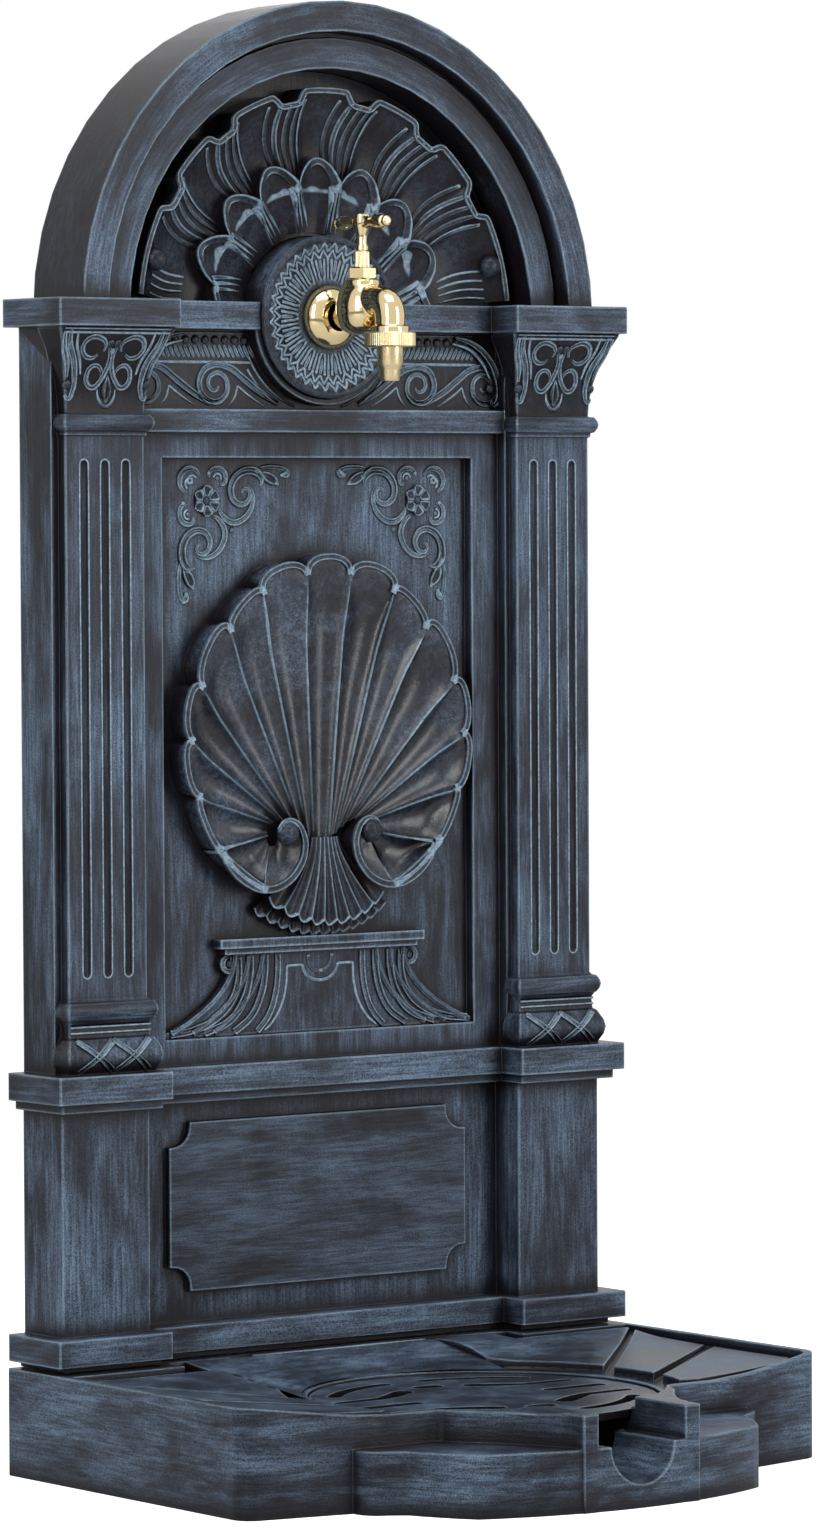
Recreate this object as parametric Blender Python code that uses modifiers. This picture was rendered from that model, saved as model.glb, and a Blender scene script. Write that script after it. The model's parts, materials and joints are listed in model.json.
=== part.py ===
"""Garden tap column: a moulded wall with an arch, a basin with a lift-out grate, and a brass tap.

Metres, +Z up. The ground is Z = 0 and X = 0 is the plane of symmetry. Each piece is drawn with the flat
back at Y = 0 and the front towards -Y, and the last step moves the whole assembly so that the origin
lies under the middle of its footprint. Sizes are in millimetres and multiplied by MM where they are used.
"""

import math

import bmesh
import bpy
from mathutils import Matrix, Vector

MM = 0.001

# Clearances and wall thicknesses
GAP = 0.3
WALL = 4.0

# Plan: the column follows the width and the top of the basin that it stands on
BASIN_HALF = 231.5
BASIN_TOP = 70.0
COLUMN_INSET = 13.5
COLUMN_HALF = BASIN_HALF - COLUMN_INSET
COLUMN_BOTTOM = BASIN_TOP + GAP
PIER_WIDTH = 70.0
PIER_INNER = COLUMN_HALF - PIER_WIDTH

# Heights of the storeys
FOOT_HEIGHT = 4.0
PLINTH_HEIGHT = 17.7
DADO_HEIGHT = 145.0
STEP_HEIGHT = 6.0
CAP_HEIGHT = 18.0
FIELD_HEIGHT = 479.7
CORNICE_HEIGHT = 18.1


def storey(bottom, height, overhang, inner_offset, pier_front, middle_front):
    """One storey of the wall: bottom, top, half width, inner edge of the piers, and both fronts."""
    return (
        bottom,
        bottom + height,
        COLUMN_HALF + overhang,
        PIER_INNER + inner_offset,
        pier_front,
        middle_front,
    )


FOOT = storey(COLUMN_BOTTOM, FOOT_HEIGHT, 4.0, -1.0, 52.0, 34.0)
PLINTH = storey(FOOT[1], PLINTH_HEIGHT, 13.0, -4.7, 59.8, 38.0)
DADO = storey(PLINTH[1], DADO_HEIGHT, 0.6, 2.7, 45.2, 20.0)
CAP_STEP = storey(DADO[1], STEP_HEIGHT, 6.6, -1.5, 55.0, 32.0)
CAP = storey(CAP_STEP[1], CAP_HEIGHT, 12.0, -5.7, 60.7, 38.2)
WALL_FIELD = storey(CAP[1], FIELD_HEIGHT, 0.0, 0.0, 37.0, 21.0)
CORNICE = storey(WALL_FIELD[1], CORNICE_HEIGHT, 12.1, -11.7, 66.5, 38.0)
STOREYS = (FOOT, PLINTH, DADO, CAP_STEP, CAP, WALL_FIELD, CORNICE)
PANEL_FRONT = WALL_FIELD[5]
PANEL_BACK = PANEL_FRONT - WALL

# The arch is turned about this height
ARCH_Z = CORNICE[1] - 9.8
ARCH_INSET = 11.0
ARCH_RADIUS = COLUMN_HALF - ARCH_INSET
OUTER_RING = 20.0
RING_GROOVE = 3.6
INNER_RING = 20.2
OUTER_RING_INNER = ARCH_RADIUS - OUTER_RING
INNER_RING_INNER = OUTER_RING_INNER - RING_GROOVE - INNER_RING
OUTER_RING_FRONT = 58.2
GROOVE_FRONT = 42.5
INNER_RING_FRONT = 47.5
TYMPANUM_FLOOR = 17.0
ARCH_STEPS = 48
ROUND_SIDES = 44

# Pilasters
PILASTER_X = COLUMN_HALF - 35.9
SHAFT_HALF = 30.5
SHAFT_FRONT = 45.0
SHAFT_BOTTOM = CAP[1] + 48.0
SHAFT_TOP = CORNICE[0] - 69.7
ASTRAGAL_BOTTOM = SHAFT_TOP + 3.2
ASTRAGAL_TOP = ASTRAGAL_BOTTOM + 10.4
FLUTE_PITCH = 16.15
FLUTE_RADIUS = 2.9
FLUTE_BOTTOM = SHAFT_BOTTOM + 13.8
FLUTE_TOP = SHAFT_TOP - 15.5

# Raised work on the wall
FRAME_OUTER = PIER_INNER + 1.0
FRAME_WIDTH = 23.2
FRAME_INNER = FRAME_OUTER - FRAME_WIDTH
FRAME_BOTTOM = CAP[1] + 17.4
FRAME_TOP = CORNICE[0] - 83.7
FRAME_FRONT = 28.5
ARCHITRAVE = (CORNICE[0] - 67.1, CORNICE[0] - 51.9)
ARCHITRAVE_FRONT = 36.5
FRIEZE_FRONT = 27.0
PLAQUE_HALF = PIER_INNER - 27.0
PLAQUE_BOTTOM = DADO[0] + 20.5
PLAQUE_TOP = DADO[1] - 13.5
PLAQUE_FRONT = 25.0
PLAQUE_NOTCH = 16.0
PLAQUE_SHOULDER = 3.0
PLAQUE_DRAFT = 0.3

# Basin
BASIN_BACK_LIP = 66.0
PLATEAU_STEP = 138.0
PLATEAU_MIDDLE = 46.0
SLOPE_HALF = 70.0
LEDGE_TOP = 40.0
BASIN_FRONT = 366.0
LEDGE_FRONT = 368.0
GRATE_Y = -203.0
SEAT_RADIUS = 113.5
SEAT_LIP = 4.0
SEAT_LIP_TOP = 55.0
SEAT_TOP = 48.0
SEAT_SHELF = 7.0
SUMP_FLOOR = 14.0
DISH_SLOPE = 0.09
TILE_RISE = 2.5
NOTCH_HALF = 34.5
JAW_THICKNESS = 12.0
CHANNEL_RADIUS = 25.0
RIM_WIDTH = 5.5

# Grate
GRATE_THICKNESS = 5.0
GRATE_CLEARANCE = 0.8

# Rosette and tap
ROSETTE_RADIUS = 53.5
TAP_Z = ARCH_Z + 0.5
SPINDLE_Y = -77.0
OUTLET_Y = -107.5
HANDLE_HEIGHT = 61.0

# Tap details
INLET_RADIUS = 10.4
OUTLET_RADIUS = 12.6
CHAMBER_RADIUS = 9.0
SEAT_HEIGHT = 7.5
SPINDLE_RADIUS = 2.0

# Tympanum shell
TYMPANUM_LOBE = 23.0
TYMPANUM_RIM = INNER_RING_INNER - 10.2
TYMPANUM_TIER = TYMPANUM_RIM - 48.0
TYMPANUM_FRONT = 41.0

# Scallop: its hinge, the inner and outer ends of its ridges from the middle outwards, as sideways
# distance and height above the hinge, and the front along a lobe
SCALLOP_Z = FRAME_BOTTOM + 125.6
SCALLOP_INNER = (
    (6.3, 1.5),
    (11.5, 5.0),
    (17.0, 9.0),
    (23.6, 13.0),
    (33.0, 15.0),
    (41.0, 13.0),
    (43.5, 5.0),
    (42.0, -2.0),
)
SCALLOP_OUTER = (
    (17.6, 177.8),
    (53.1, 164.7),
    (80.8, 141.0),
    (105.8, 106.8),
    (114.2, 70.0),
    (105.8, 33.6),
    (88.7, -3.0),
    (53.0, -31.0),
)
SCALLOP_SWELL = 0.067
SCALLOP_PROFILE = ((0.0, 27.0), (0.25, 29.0), (0.5, 31.0), (0.72, 34.0), (0.88, 38.0), (0.95, 39.8), (1.0, 39.0))

# Fasteners
SCREW_RADIUS = 1.5
SCREW_HEAD = 3.8
SCREW_HEAD_HEIGHT = 2.2
PILOT_RADIUS = 1.7
COVER_OUTER = 3.0
COVER_THICKNESS = 3.0


def new_collection(name):
    collection = bpy.data.collections.new(name)
    bpy.context.scene.collection.children.link(collection)
    return collection


def clear_scene():
    for item in list(bpy.data.objects):
        bpy.data.objects.remove(item, do_unlink=True)


clear_scene()
PARTS = new_collection("garden_tap_column")
CUTTERS = new_collection("cutters")


def material(name, colour, roughness, metallic):
    made = bpy.data.materials.new(name)
    made.use_nodes = True
    shader = made.node_tree.nodes["Principled BSDF"]
    shader.inputs["Base Color"].default_value = (*colour, 1.0)
    shader.inputs["Roughness"].default_value = roughness
    shader.inputs["Metallic"].default_value = metallic
    return made


def put(name, mesh, collection, look=None):
    """Links a mesh as an object of a collection."""
    made = bpy.data.objects.new(name, mesh)
    collection.objects.link(made)
    if look:
        mesh.materials.append(look)
    if collection is CUTTERS:
        made.display_type = "WIRE"
        made.hide_render = True
    return made


def shade(item, angle=35.0):
    item.data.shade_smooth()
    item.data.set_sharp_from_angle(angle=math.radians(angle))


def boolean(item, cutter, operation="DIFFERENCE"):
    modifier = item.modifiers.new(cutter.name, "BOOLEAN")
    modifier.operation = operation
    modifier.object = cutter
    modifier.solver = "EXACT"
    return modifier


def mirror_x(item):
    modifier = item.modifiers.new("Mirror", "MIRROR")
    modifier.use_axis = (True, False, False)
    modifier.merge_threshold = 0.00005
    return modifier


def row_of(item, count, step):
    modifier = item.modifiers.new("Row", "ARRAY")
    modifier.count = count
    modifier.use_relative_offset = False
    modifier.use_constant_offset = True
    modifier.constant_offset_displace = [value * MM for value in step]
    return modifier


def box(name, low, high, collection=CUTTERS, look=None):
    """A box between two corners in millimetres."""
    mesh = bpy.data.meshes.new(name)
    work = bmesh.new()
    bmesh.ops.create_cube(work, size=1.0)
    work.to_mesh(mesh)
    work.free()
    size = [(b - a) * MM for a, b in zip(low, high)]
    centre = [(a + b) * MM / 2 for a, b in zip(low, high)]
    for vertex in mesh.vertices:
        vertex.co = [v * s + c for v, s, c in zip(vertex.co, size, centre)]
    return put(name, mesh, collection, look)


def turn_to(item, direction):
    """Turns a piece made along +Z so that its axis runs along another direction."""
    item.rotation_mode = "QUATERNION"
    item.rotation_quaternion = Vector((0, 0, 1)).rotation_difference(Vector(direction))


def cylinder(name, start, end, radius, collection=CUTTERS, look=None, sides=32):
    """A cylinder between two points in millimetres."""
    first = Vector(start) * MM
    last = Vector(end) * MM
    mesh = bpy.data.meshes.new(name)
    work = bmesh.new()
    bmesh.ops.create_cone(
        work,
        cap_ends=True,
        segments=sides,
        radius1=radius * MM,
        radius2=radius * MM,
        depth=(last - first).length,
    )
    work.to_mesh(mesh)
    work.free()
    turn = Vector((0, 0, 1)).rotation_difference((last - first).normalized()).to_matrix().to_4x4()
    mesh.transform(Matrix.Translation((first + last) / 2) @ turn)
    made = put(name, mesh, collection, look)
    shade(made)
    return made


def turned(name, profile, steps=48, collection=PARTS, look=None):
    """Turns a profile of (radius, height) points about Z. It runs down the outer side.

    A profile that ends where it starts is the closed section of a ring.
    """
    mesh = bpy.data.meshes.new(name)
    points = [(radius * MM, 0.0, height * MM) for radius, height in profile]
    edges = [(i, i + 1) for i in range(len(points) - 1)]
    if profile[0] == profile[-1]:
        points.pop()
        edges[-1] = (len(points) - 1, 0)
    mesh.from_pydata(points, edges, [])
    made = put(name, mesh, collection, look)
    screw = made.modifiers.new("Turn", "SCREW")
    screw.steps = steps
    screw.render_steps = steps
    screw.use_merge_vertices = True
    screw.merge_threshold = 0.00001
    return made


def ring_profile(inner, outer, bottom, top):
    """The closed section of a plain ring, for turned()."""
    return [(inner, top), (outer, top), (outer, bottom), (inner, bottom), (inner, top)]


def as_mesh(curve_object, collection, look=None):
    """Replaces a curve object by its welded mesh, with each flat cap as one face where it has no hole."""
    bpy.context.view_layer.update()
    evaluated = curve_object.evaluated_get(bpy.context.evaluated_depsgraph_get())
    mesh = bpy.data.meshes.new_from_object(evaluated)
    work = bmesh.new()
    work.from_mesh(mesh)
    bmesh.ops.remove_doubles(work, verts=work.verts, dist=1e-6)
    bmesh.ops.dissolve_limit(work, angle_limit=math.radians(0.1), verts=work.verts, edges=work.edges)
    bmesh.ops.recalc_face_normals(work, faces=work.faces)
    work.to_mesh(mesh)
    work.free()
    mesh.materials.clear()
    name = curve_object.name
    mesh.transform(curve_object.matrix_world)
    bpy.data.objects.remove(curve_object, do_unlink=True)
    return put(name, mesh, collection, look)


def plate(name, outlines, low, high, facing="Z", collection=CUTTERS, look=None):
    """Flat outlines in millimetres, extruded between two levels.

    Facing Z, the outline lies in X and Y. Facing Y, it lies in X and Z and the levels are
    distances in front of the back plane.
    """
    curve = bpy.data.curves.new(name, "CURVE")
    curve.dimensions = "2D"
    curve.fill_mode = "BOTH"
    curve.extrude = (high - low) * MM / 2
    for outline in outlines:
        spline = curve.splines.new("POLY")
        spline.points.add(len(outline) - 1)
        for point, (u, v) in zip(spline.points, outline):
            point.co = (u * MM, v * MM, 0.0, 1.0)
        spline.use_cyclic_u = True
    holder = bpy.data.objects.new(name, curve)
    collection.objects.link(holder)
    middle = (low + high) * MM / 2
    if facing == "Y":
        holder.location = (0.0, -middle, 0.0)
        holder.rotation_euler = (math.pi / 2, 0.0, 0.0)
    else:
        holder.location = (0.0, 0.0, middle)
    return as_mesh(holder, collection, look)


def tube(name, points, radii, collection=CUTTERS, look=None, sides=3):
    """A round tube along points in millimetres, with a radius at each point."""
    curve = bpy.data.curves.new(name, "CURVE")
    curve.dimensions = "3D"
    curve.bevel_depth = MM
    curve.bevel_resolution = sides
    curve.use_fill_caps = True
    spline = curve.splines.new("POLY")
    spline.points.add(len(points) - 1)
    for point, place, radius in zip(spline.points, points, radii):
        point.co = (*[value * MM for value in place], 1.0)
        point.radius = radius
    holder = bpy.data.objects.new(name, curve)
    collection.objects.link(holder)
    made = as_mesh(holder, collection, look)
    shade(made)
    return made


def skin(name, rings, collection=CUTTERS, look=None, flat_back=False):
    """A loft through rings of equal length, given in millimetres, with flat ends.

    With a flat back, the side between the last and the first point of each ring is one flat face.
    """
    work = bmesh.new()
    rows = [[work.verts.new([value * MM for value in point]) for point in ring] for ring in rings]
    count = len(rows[0])
    for lower, upper in zip(rows, rows[1:]):
        for i in range(count - 1 if flat_back else count):
            j = (i + 1) % count
            work.faces.new((lower[i], lower[j], upper[j], upper[i]))
    work.faces.new(list(reversed(rows[0])))
    work.faces.new(rows[-1])
    if flat_back:
        work.faces.new([row[0] for row in rows] + [row[-1] for row in reversed(rows)])
    bmesh.ops.remove_doubles(work, verts=work.verts, dist=1e-7)
    bmesh.ops.dissolve_degenerate(work, edges=work.edges, dist=1e-7)
    bmesh.ops.recalc_face_normals(work, faces=work.faces)
    mesh = bpy.data.meshes.new(name)
    work.to_mesh(mesh)
    work.free()
    return put(name, mesh, collection, look)


def arc(centre, radius, start, end, count):
    """Points along an arc, with its angles in degrees."""
    points = []
    for i in range(count + 1):
        angle = math.radians(start + (end - start) * i / count)
        points.append((centre[0] + radius * math.cos(angle), centre[1] + radius * math.sin(angle)))
    return points


def bowed(start, end, sag, count):
    """Points along a shallow curve: a chord that sags to its left by the given distance."""
    dx = end[0] - start[0]
    dy = end[1] - start[1]
    length = math.hypot(dx, dy)
    points = []
    for i in range(count + 1):
        t = i / count
        off = 4.0 * sag * t * (1.0 - t)
        points.append((start[0] + dx * t - dy / length * off, start[1] + dy * t + dx / length * off))
    return points


def offset_outline(outline, distance):
    """Moves each side of an outline sideways: to the left of its direction for a positive distance."""
    moved = []
    for i, (x, y) in enumerate(outline):
        before = Vector((x - outline[i - 1][0], y - outline[i - 1][1])).normalized()
        following = outline[(i + 1) % len(outline)]
        after = Vector((following[0] - x, following[1] - y)).normalized()
        bisector = Vector((-before.y - after.y, before.x + after.x)).normalized()
        reach = distance / max(0.3, bisector.dot(Vector((-before.y, before.x))))
        moved.append((x + bisector.x * reach, y + bisector.y * reach))
    return moved


def origin_at(item, place):
    """Sets a piece's origin, which is its joint axis, without moving its shape."""
    offset = Vector(place) * MM
    item.data.transform(Matrix.Translation(-offset))
    item.location = offset


def both_sides(half):
    """Closes a half outline, listed from the back at +X to the front middle, with its mirror image."""
    mirrored = [(-x, y) for x, y in reversed(half) if abs(x) > 1e-6]
    return half + mirrored


PLASTIC = material("painted_plastic", (0.035, 0.045, 0.060), 0.45, 0.0)
BRASS = material("polished_brass", (0.80, 0.58, 0.24), 0.16, 1.0)
SATIN_BRASS = material("satin_brass", (0.76, 0.57, 0.28), 0.34, 1.0)
RUBBER = material("black_rubber", (0.02, 0.02, 0.02), 0.75, 0.0)
STEEL = material("zinc_plated_steel", (0.60, 0.61, 0.62), 0.35, 1.0)


def storey_ring(z, storey, inset=0.0, back=0.0):
    """The plan outline of a storey of the wall at one height."""
    outer = storey[2] - inset
    inner = storey[3] + inset
    front = -(storey[4] - inset)
    middle = -(storey[5] - inset)
    return [
        (outer, back, z),
        (outer, front, z),
        (inner, front, z),
        (inner, middle, z),
        (-inner, middle, z),
        (-inner, front, z),
        (-outer, front, z),
        (-outer, back, z),
    ]


def wall_rings(inset=0.0, back=0.0):
    """Outlines from the foot to the cornice. Inset gives the hollow of a shell of that thickness."""
    rings = []
    for index, storey in enumerate(STOREYS):
        below = STOREYS[index - 1] if index else None
        above = STOREYS[index + 1] if index + 1 < len(STOREYS) else None
        overhangs = below is None or storey[2] > below[2]
        projects = above is None or storey[2] > above[2]
        bottom = storey[0] + (inset if overhangs else -inset)
        top = storey[1] + (-inset if projects else inset)
        rings.append(storey_ring(bottom, storey, inset, back))
        rings.append(storey_ring(top, storey, inset, back))
    return rings


def arch_profile():
    """Section of the arch shell: radius, and distance in front of the back plane."""
    groove_outer = OUTER_RING_INNER
    groove_inner = OUTER_RING_INNER - RING_GROOVE
    face = [
        (INNER_RING_INNER, TYMPANUM_FLOOR - WALL),
        (INNER_RING_INNER, INNER_RING_FRONT),
        (groove_inner, INNER_RING_FRONT),
        (groove_inner, GROOVE_FRONT),
        (groove_outer, GROOVE_FRONT),
        (groove_outer, OUTER_RING_FRONT),
        (ARCH_RADIUS, OUTER_RING_FRONT),
        (ARCH_RADIUS, 0.0),
    ]
    inside = [
        (ARCH_RADIUS - WALL, 0.0),
        (ARCH_RADIUS - WALL, OUTER_RING_FRONT - WALL),
        (groove_outer + WALL, OUTER_RING_FRONT - WALL),
        (groove_outer + WALL, GROOVE_FRONT - WALL),
        (groove_inner - WALL, GROOVE_FRONT - WALL),
        (groove_inner - WALL, INNER_RING_FRONT - WALL),
        (INNER_RING_INNER + WALL, INNER_RING_FRONT - WALL),
        (INNER_RING_INNER + WALL, TYMPANUM_FLOOR - WALL),
    ]
    return face + inside + face[:1]


def front_facing(item, z):
    """Stands a turned piece so that its axis points to the front at a height."""
    item.rotation_euler = (math.pi / 2, 0.0, 0.0)
    item.location = (0.0, 0.0, z * MM)


def pilaster_sections():
    """Height, half width and front of the pilaster from its cushion to its capital."""
    sections = [(CAP[1] - 2.0, 33.5, 50.0), (CAP[1], 33.5, 50.0)]
    for i in range(5):
        swell = math.sin(math.pi * (i + 0.3) / 4.6)
        sections.append((CAP[1] + 1.6 + 4.8 * i, 33.0 + 4.0 * swell, 49.5 + 5.0 * swell))
    for rise, half, front in ((22.5, 33.0, 49.5), (23.5, 31.4, 47.0), (31.0, 31.0, 46.2), (34.6, 32.4, 48.6)):
        sections.append((CAP[1] + rise, half, front))
    sections += roll_sections(SHAFT_BOTTOM - 13.4, SHAFT_BOTTOM - 2.0, 33.0, 49.5, 2.2)
    sections += [(SHAFT_BOTTOM - 1.8, 31.6, 46.6), (SHAFT_BOTTOM, SHAFT_HALF, SHAFT_FRONT)]
    sections += [(SHAFT_TOP, SHAFT_HALF, SHAFT_FRONT), (SHAFT_TOP + 0.2, 31.6, 46.8)]
    sections.append((ASTRAGAL_BOTTOM - 0.2, 31.6, 46.8))
    sections += roll_sections(ASTRAGAL_BOTTOM, ASTRAGAL_TOP, 33.0, 49.2, 2.2)
    neck = ASTRAGAL_TOP + 0.2
    sections.append((neck, SHAFT_HALF, SHAFT_FRONT + 0.5))
    for i in range(1, 6):
        height = (CORNICE[0] - 1.9 - neck) * i / 5
        flare = (i / 5) ** 2
        sections.append((neck + height, SHAFT_HALF + 14.0 * flare, SHAFT_FRONT + 0.5 + 16.0 * flare))
    sections.append((CORNICE[0] + 2.0, SHAFT_HALF + 14.4, SHAFT_FRONT + 17.0))
    return sections


def roll_sections(bottom, top, half, front, swell):
    """A half-round roll moulding between two heights."""
    rows = []
    for i in range(5):
        bulge = swell * math.sin(math.pi * i / 4)
        rows.append((bottom + (top - bottom) * i / 4, half + bulge, front + bulge))
    return rows


def pilaster(side):
    """A fluted pilaster with its cushion base and capital, set 2 mm into the wall."""
    centre = side * PILASTER_X
    back = -(WALL_FIELD[4] - 2.0)
    rings = []
    for z, half, front in pilaster_sections():
        ring = [
            (centre + half, back, z),
            (centre + half, -front, z),
            (centre - half, -front, z),
            (centre - half, back, z),
        ]
        rings.append(ring)
    return skin("pilaster_form_" + ("right" if side > 0 else "left"), rings, flat_back=True)


def flute_cutter(side):
    """Three round-ended flutes in one shaft."""
    length = FLUTE_TOP - FLUTE_BOTTOM
    ends = length / 2 - FLUTE_RADIUS
    profile = [(u, v + ends) for u, v in arc((0.0, 0.0), FLUTE_RADIUS, 90.0, 0.0, 3)]
    profile += [(u, v - ends) for u, v in arc((0.0, 0.0), FLUTE_RADIUS, 0.0, -90.0, 3)]
    profile[0] = (0.0, length / 2)
    profile[-1] = (0.0, -length / 2)
    made = turned("flutes_" + ("right" if side > 0 else "left"), profile, 8, CUTTERS)
    row_of(made, 3, (FLUTE_PITCH, 0.0, 0.0))
    first = side * PILASTER_X - FLUTE_PITCH
    made.location = (first * MM, -SHAFT_FRONT * MM - 0.4 * MM, (FLUTE_TOP + FLUTE_BOTTOM) / 2 * MM)
    return made


def plaque_outline():
    """A tablet with scooped corners between small shoulders, listed anticlockwise."""
    outline = []
    for sx, sz, start in ((1, 1, 270.0), (-1, 1, 0.0), (-1, -1, 90.0), (1, -1, 180.0)):
        side = sx * PLAQUE_HALF
        level = PLAQUE_TOP if sz > 0 else PLAQUE_BOTTOM
        centre = (side - sx * PLAQUE_SHOULDER, level - sz * PLAQUE_SHOULDER)
        scoop = arc(centre, PLAQUE_NOTCH - PLAQUE_SHOULDER, start, start - 90.0, 6)
        beside = (side, level - sz * (PLAQUE_NOTCH + PLAQUE_DRAFT))
        along = (side - sx * (PLAQUE_NOTCH + PLAQUE_DRAFT), level)
        ends = (beside, along) if sx * sz > 0 else (along, beside)
        outline += [ends[0]] + scoop + [ends[1]]
    return outline


# Screws: place and, for the ornaments, the distance of the wall's inner face in front of the back plane
COVER_SCREW_HEIGHTS = (DADO[0] + 28.0, WALL_FIELD[0] + 139.0, WALL_FIELD[1] - 50.7)
COVER_SCREWS = [(side * (COLUMN_HALF - 18.0), z) for side in (1, -1) for z in COVER_SCREW_HEIGHTS]
COVER_SCREWS.append((0.0, ARCH_Z + ARCH_RADIUS - 21.0))
BASE_SCREWS = [(side * (COLUMN_HALF - 28.0), y) for side in (1, -1) for y in (-16.0, -40.0)]
ORNAMENT_SCREWS = {
    "scallop": [(side * 60.0, SCALLOP_Z + 66.0, PANEL_BACK) for side in (-1, 1)],
    "bracket": [(side * 60.0, FRAME_BOTTOM + 31.6, PANEL_BACK) for side in (-1, 1)],
    "tympanum": [(side * 118.0, ARCH_Z + 51.0, TYMPANUM_FLOOR - WALL) for side in (-1, 1)],
}
ROSETTE_SCREWS = [(side * (ROSETTE_RADIUS + 3.5), TAP_Z - 22.5) for side in (-1, 1)]
ROSETTE_FLANGE = ROSETTE_RADIUS + 12.5
FLANGE_FRONT = 12.7


def arch_form():
    """The arch: a turned shell of which the upper half is kept."""
    arch = turned("arch_form", arch_profile(), ARCH_STEPS, CUTTERS)
    front_facing(arch, ARCH_Z)
    boolean(arch, box("below_arch", (-ARCH_RADIUS - 13.0, -80.0, ARCH_Z - 249.0), (ARCH_RADIUS + 13.0, 20.0, ARCH_Z)))
    return arch


def tympanum_floor_form():
    """The flat half disc behind the tympanum shell, let into the inner ring of the arch."""
    outline = arc((0.0, ARCH_Z), INNER_RING_INNER + WALL / 2, 0.0, 180.0, 40)
    return plate("tympanum_floor_form", [outline], TYMPANUM_FLOOR - WALL + 0.1, TYMPANUM_FLOOR, "Y")


def frame_form():
    """The flat frame round the main panel."""
    low = CAP[1] - 2.0
    high = ARCHITRAVE[0] + 1.4
    outer = [(-FRAME_OUTER, low), (FRAME_OUTER, low), (FRAME_OUTER, high), (-FRAME_OUTER, high)]
    inner = [
        (-FRAME_INNER, FRAME_BOTTOM),
        (-FRAME_INNER, FRAME_TOP),
        (FRAME_INNER, FRAME_TOP),
        (FRAME_INNER, FRAME_BOTTOM),
    ]
    return plate("frame_form", [outer, inner], PANEL_FRONT - 2.0, FRAME_FRONT, "Y")


def collar_form():
    """The round wall that lines the rosette's hole, cut down where it would stand out above the cornice."""
    collar = cylinder(
        "collar_form", (0.0, -13.6, TAP_Z), (0.0, -CORNICE[5] + 1.0, TAP_Z), ROSETTE_RADIUS + 4.3, sides=ROUND_SIDES
    )
    reach = ROSETTE_RADIUS + 16.5
    above = box("above_collar", (-reach, -60.0, CORNICE[1] - 2.0), (reach, -TYMPANUM_FLOOR + 1.0, TAP_Z + reach))
    boolean(collar, above)
    return collar


def make_facade():
    """The main moulding: a 4 mm shell open at the back, with the arch, pilasters and mouldings."""
    facade = skin("facade", wall_rings(), PARTS, PLASTIC, flat_back=True)
    boolean(facade, skin("facade_hollow", wall_rings(WALL, 5.0), flat_back=True))
    boolean(facade, arch_form(), "UNION")
    boolean(facade, tympanum_floor_form(), "UNION")
    boolean(facade, frame_form(), "UNION")
    for name, low, high, front in (
        ("architrave_form", ARCHITRAVE[0], ARCHITRAVE[1], ARCHITRAVE_FRONT),
        ("frieze_form", ARCHITRAVE[1] - 1.0, CORNICE[0] + 1.0, FRIEZE_FRONT),
    ):
        boolean(facade, box(name, (-FRAME_OUTER, -front, low), (FRAME_OUTER, -PANEL_FRONT + 2.0, high)), "UNION")
    boolean(facade, plate("plaque_form", [plaque_outline()], DADO[5] - 2.0, PLAQUE_FRONT, "Y"), "UNION")
    for side in (1, -1):
        boolean(facade, pilaster(side), "UNION")
        boolean(facade, flute_cutter(side))
    boolean(facade, collar_form(), "UNION")
    bore = cylinder("rosette_bore", (0.0, 5.0, TAP_Z), (0.0, -60.0, TAP_Z), ROSETTE_RADIUS + GAP, sides=ROUND_SIDES)
    boolean(facade, bore)
    half = ARCH_RADIUS - WALL - 0.2
    front = -TYMPANUM_FLOOR + WALL + 0.2
    boolean(facade, box("cover_space", (-half, front, CORNICE[0] + 3.3), (half, 5.0, CORNICE[1] + 0.7)))
    add_screw_bosses(facade)
    return facade


def add_screw_bosses(facade):
    """Bosses for the screws of the rear cover, the basin and the rosette, and the ornaments' holes."""
    seat = COVER_OUTER + COVER_THICKNESS + GAP
    for index, (x, z) in enumerate(COVER_SCREWS):
        depth = 35.0 if DADO[1] < z < ARCH_Z else 42.5
        if z > ARCH_Z:
            depth = 41.0
        boss = cylinder(f"cover_boss_{index + 1}", (x, -seat, z), (x, -depth, z), 4.6, sides=10)
        boolean(facade, boss, "UNION")
        pilot = cylinder(f"cover_pilot_{index + 1}", (x, 0.0, z), (x, -seat - 11.0, z), PILOT_RADIUS, sides=8)
        boolean(facade, pilot)
    for index, (x, y) in enumerate(BASE_SCREWS):
        boss = cylinder(f"base_boss_{index + 1}", (x, y, COLUMN_BOTTOM + 1.7), (x, y, COLUMN_BOTTOM + 17.7), 5.0, sides=10)
        boolean(facade, boss, "UNION")
        pilot = cylinder(f"base_pilot_{index + 1}", (x, y, COLUMN_BOTTOM - 10.3), (x, y, COLUMN_BOTTOM + 13.7), PILOT_RADIUS, sides=8)
        boolean(facade, pilot)
    for index, (x, z) in enumerate(ROSETTE_SCREWS):
        boss = cylinder(f"rosette_boss_{index + 1}", (x, -13.0, z), (x, -19.0, z), 4.6, sides=10)
        boolean(facade, boss, "UNION")
        pilot = cylinder(f"rosette_pilot_{index + 1}", (x, 0.0, z), (x, -19.5, z), PILOT_RADIUS, sides=8)
        boolean(facade, pilot)
    for name, places in ORNAMENT_SCREWS.items():
        for index, (x, z, inner_face) in enumerate(places):
            hole = cylinder(
                f"{name}_hole_{index + 1}", (x, -5.0, z), (x, -inner_face - 6.0, z), SCREW_RADIUS + 0.4, sides=8
            )
            boolean(facade, hole)


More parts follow.
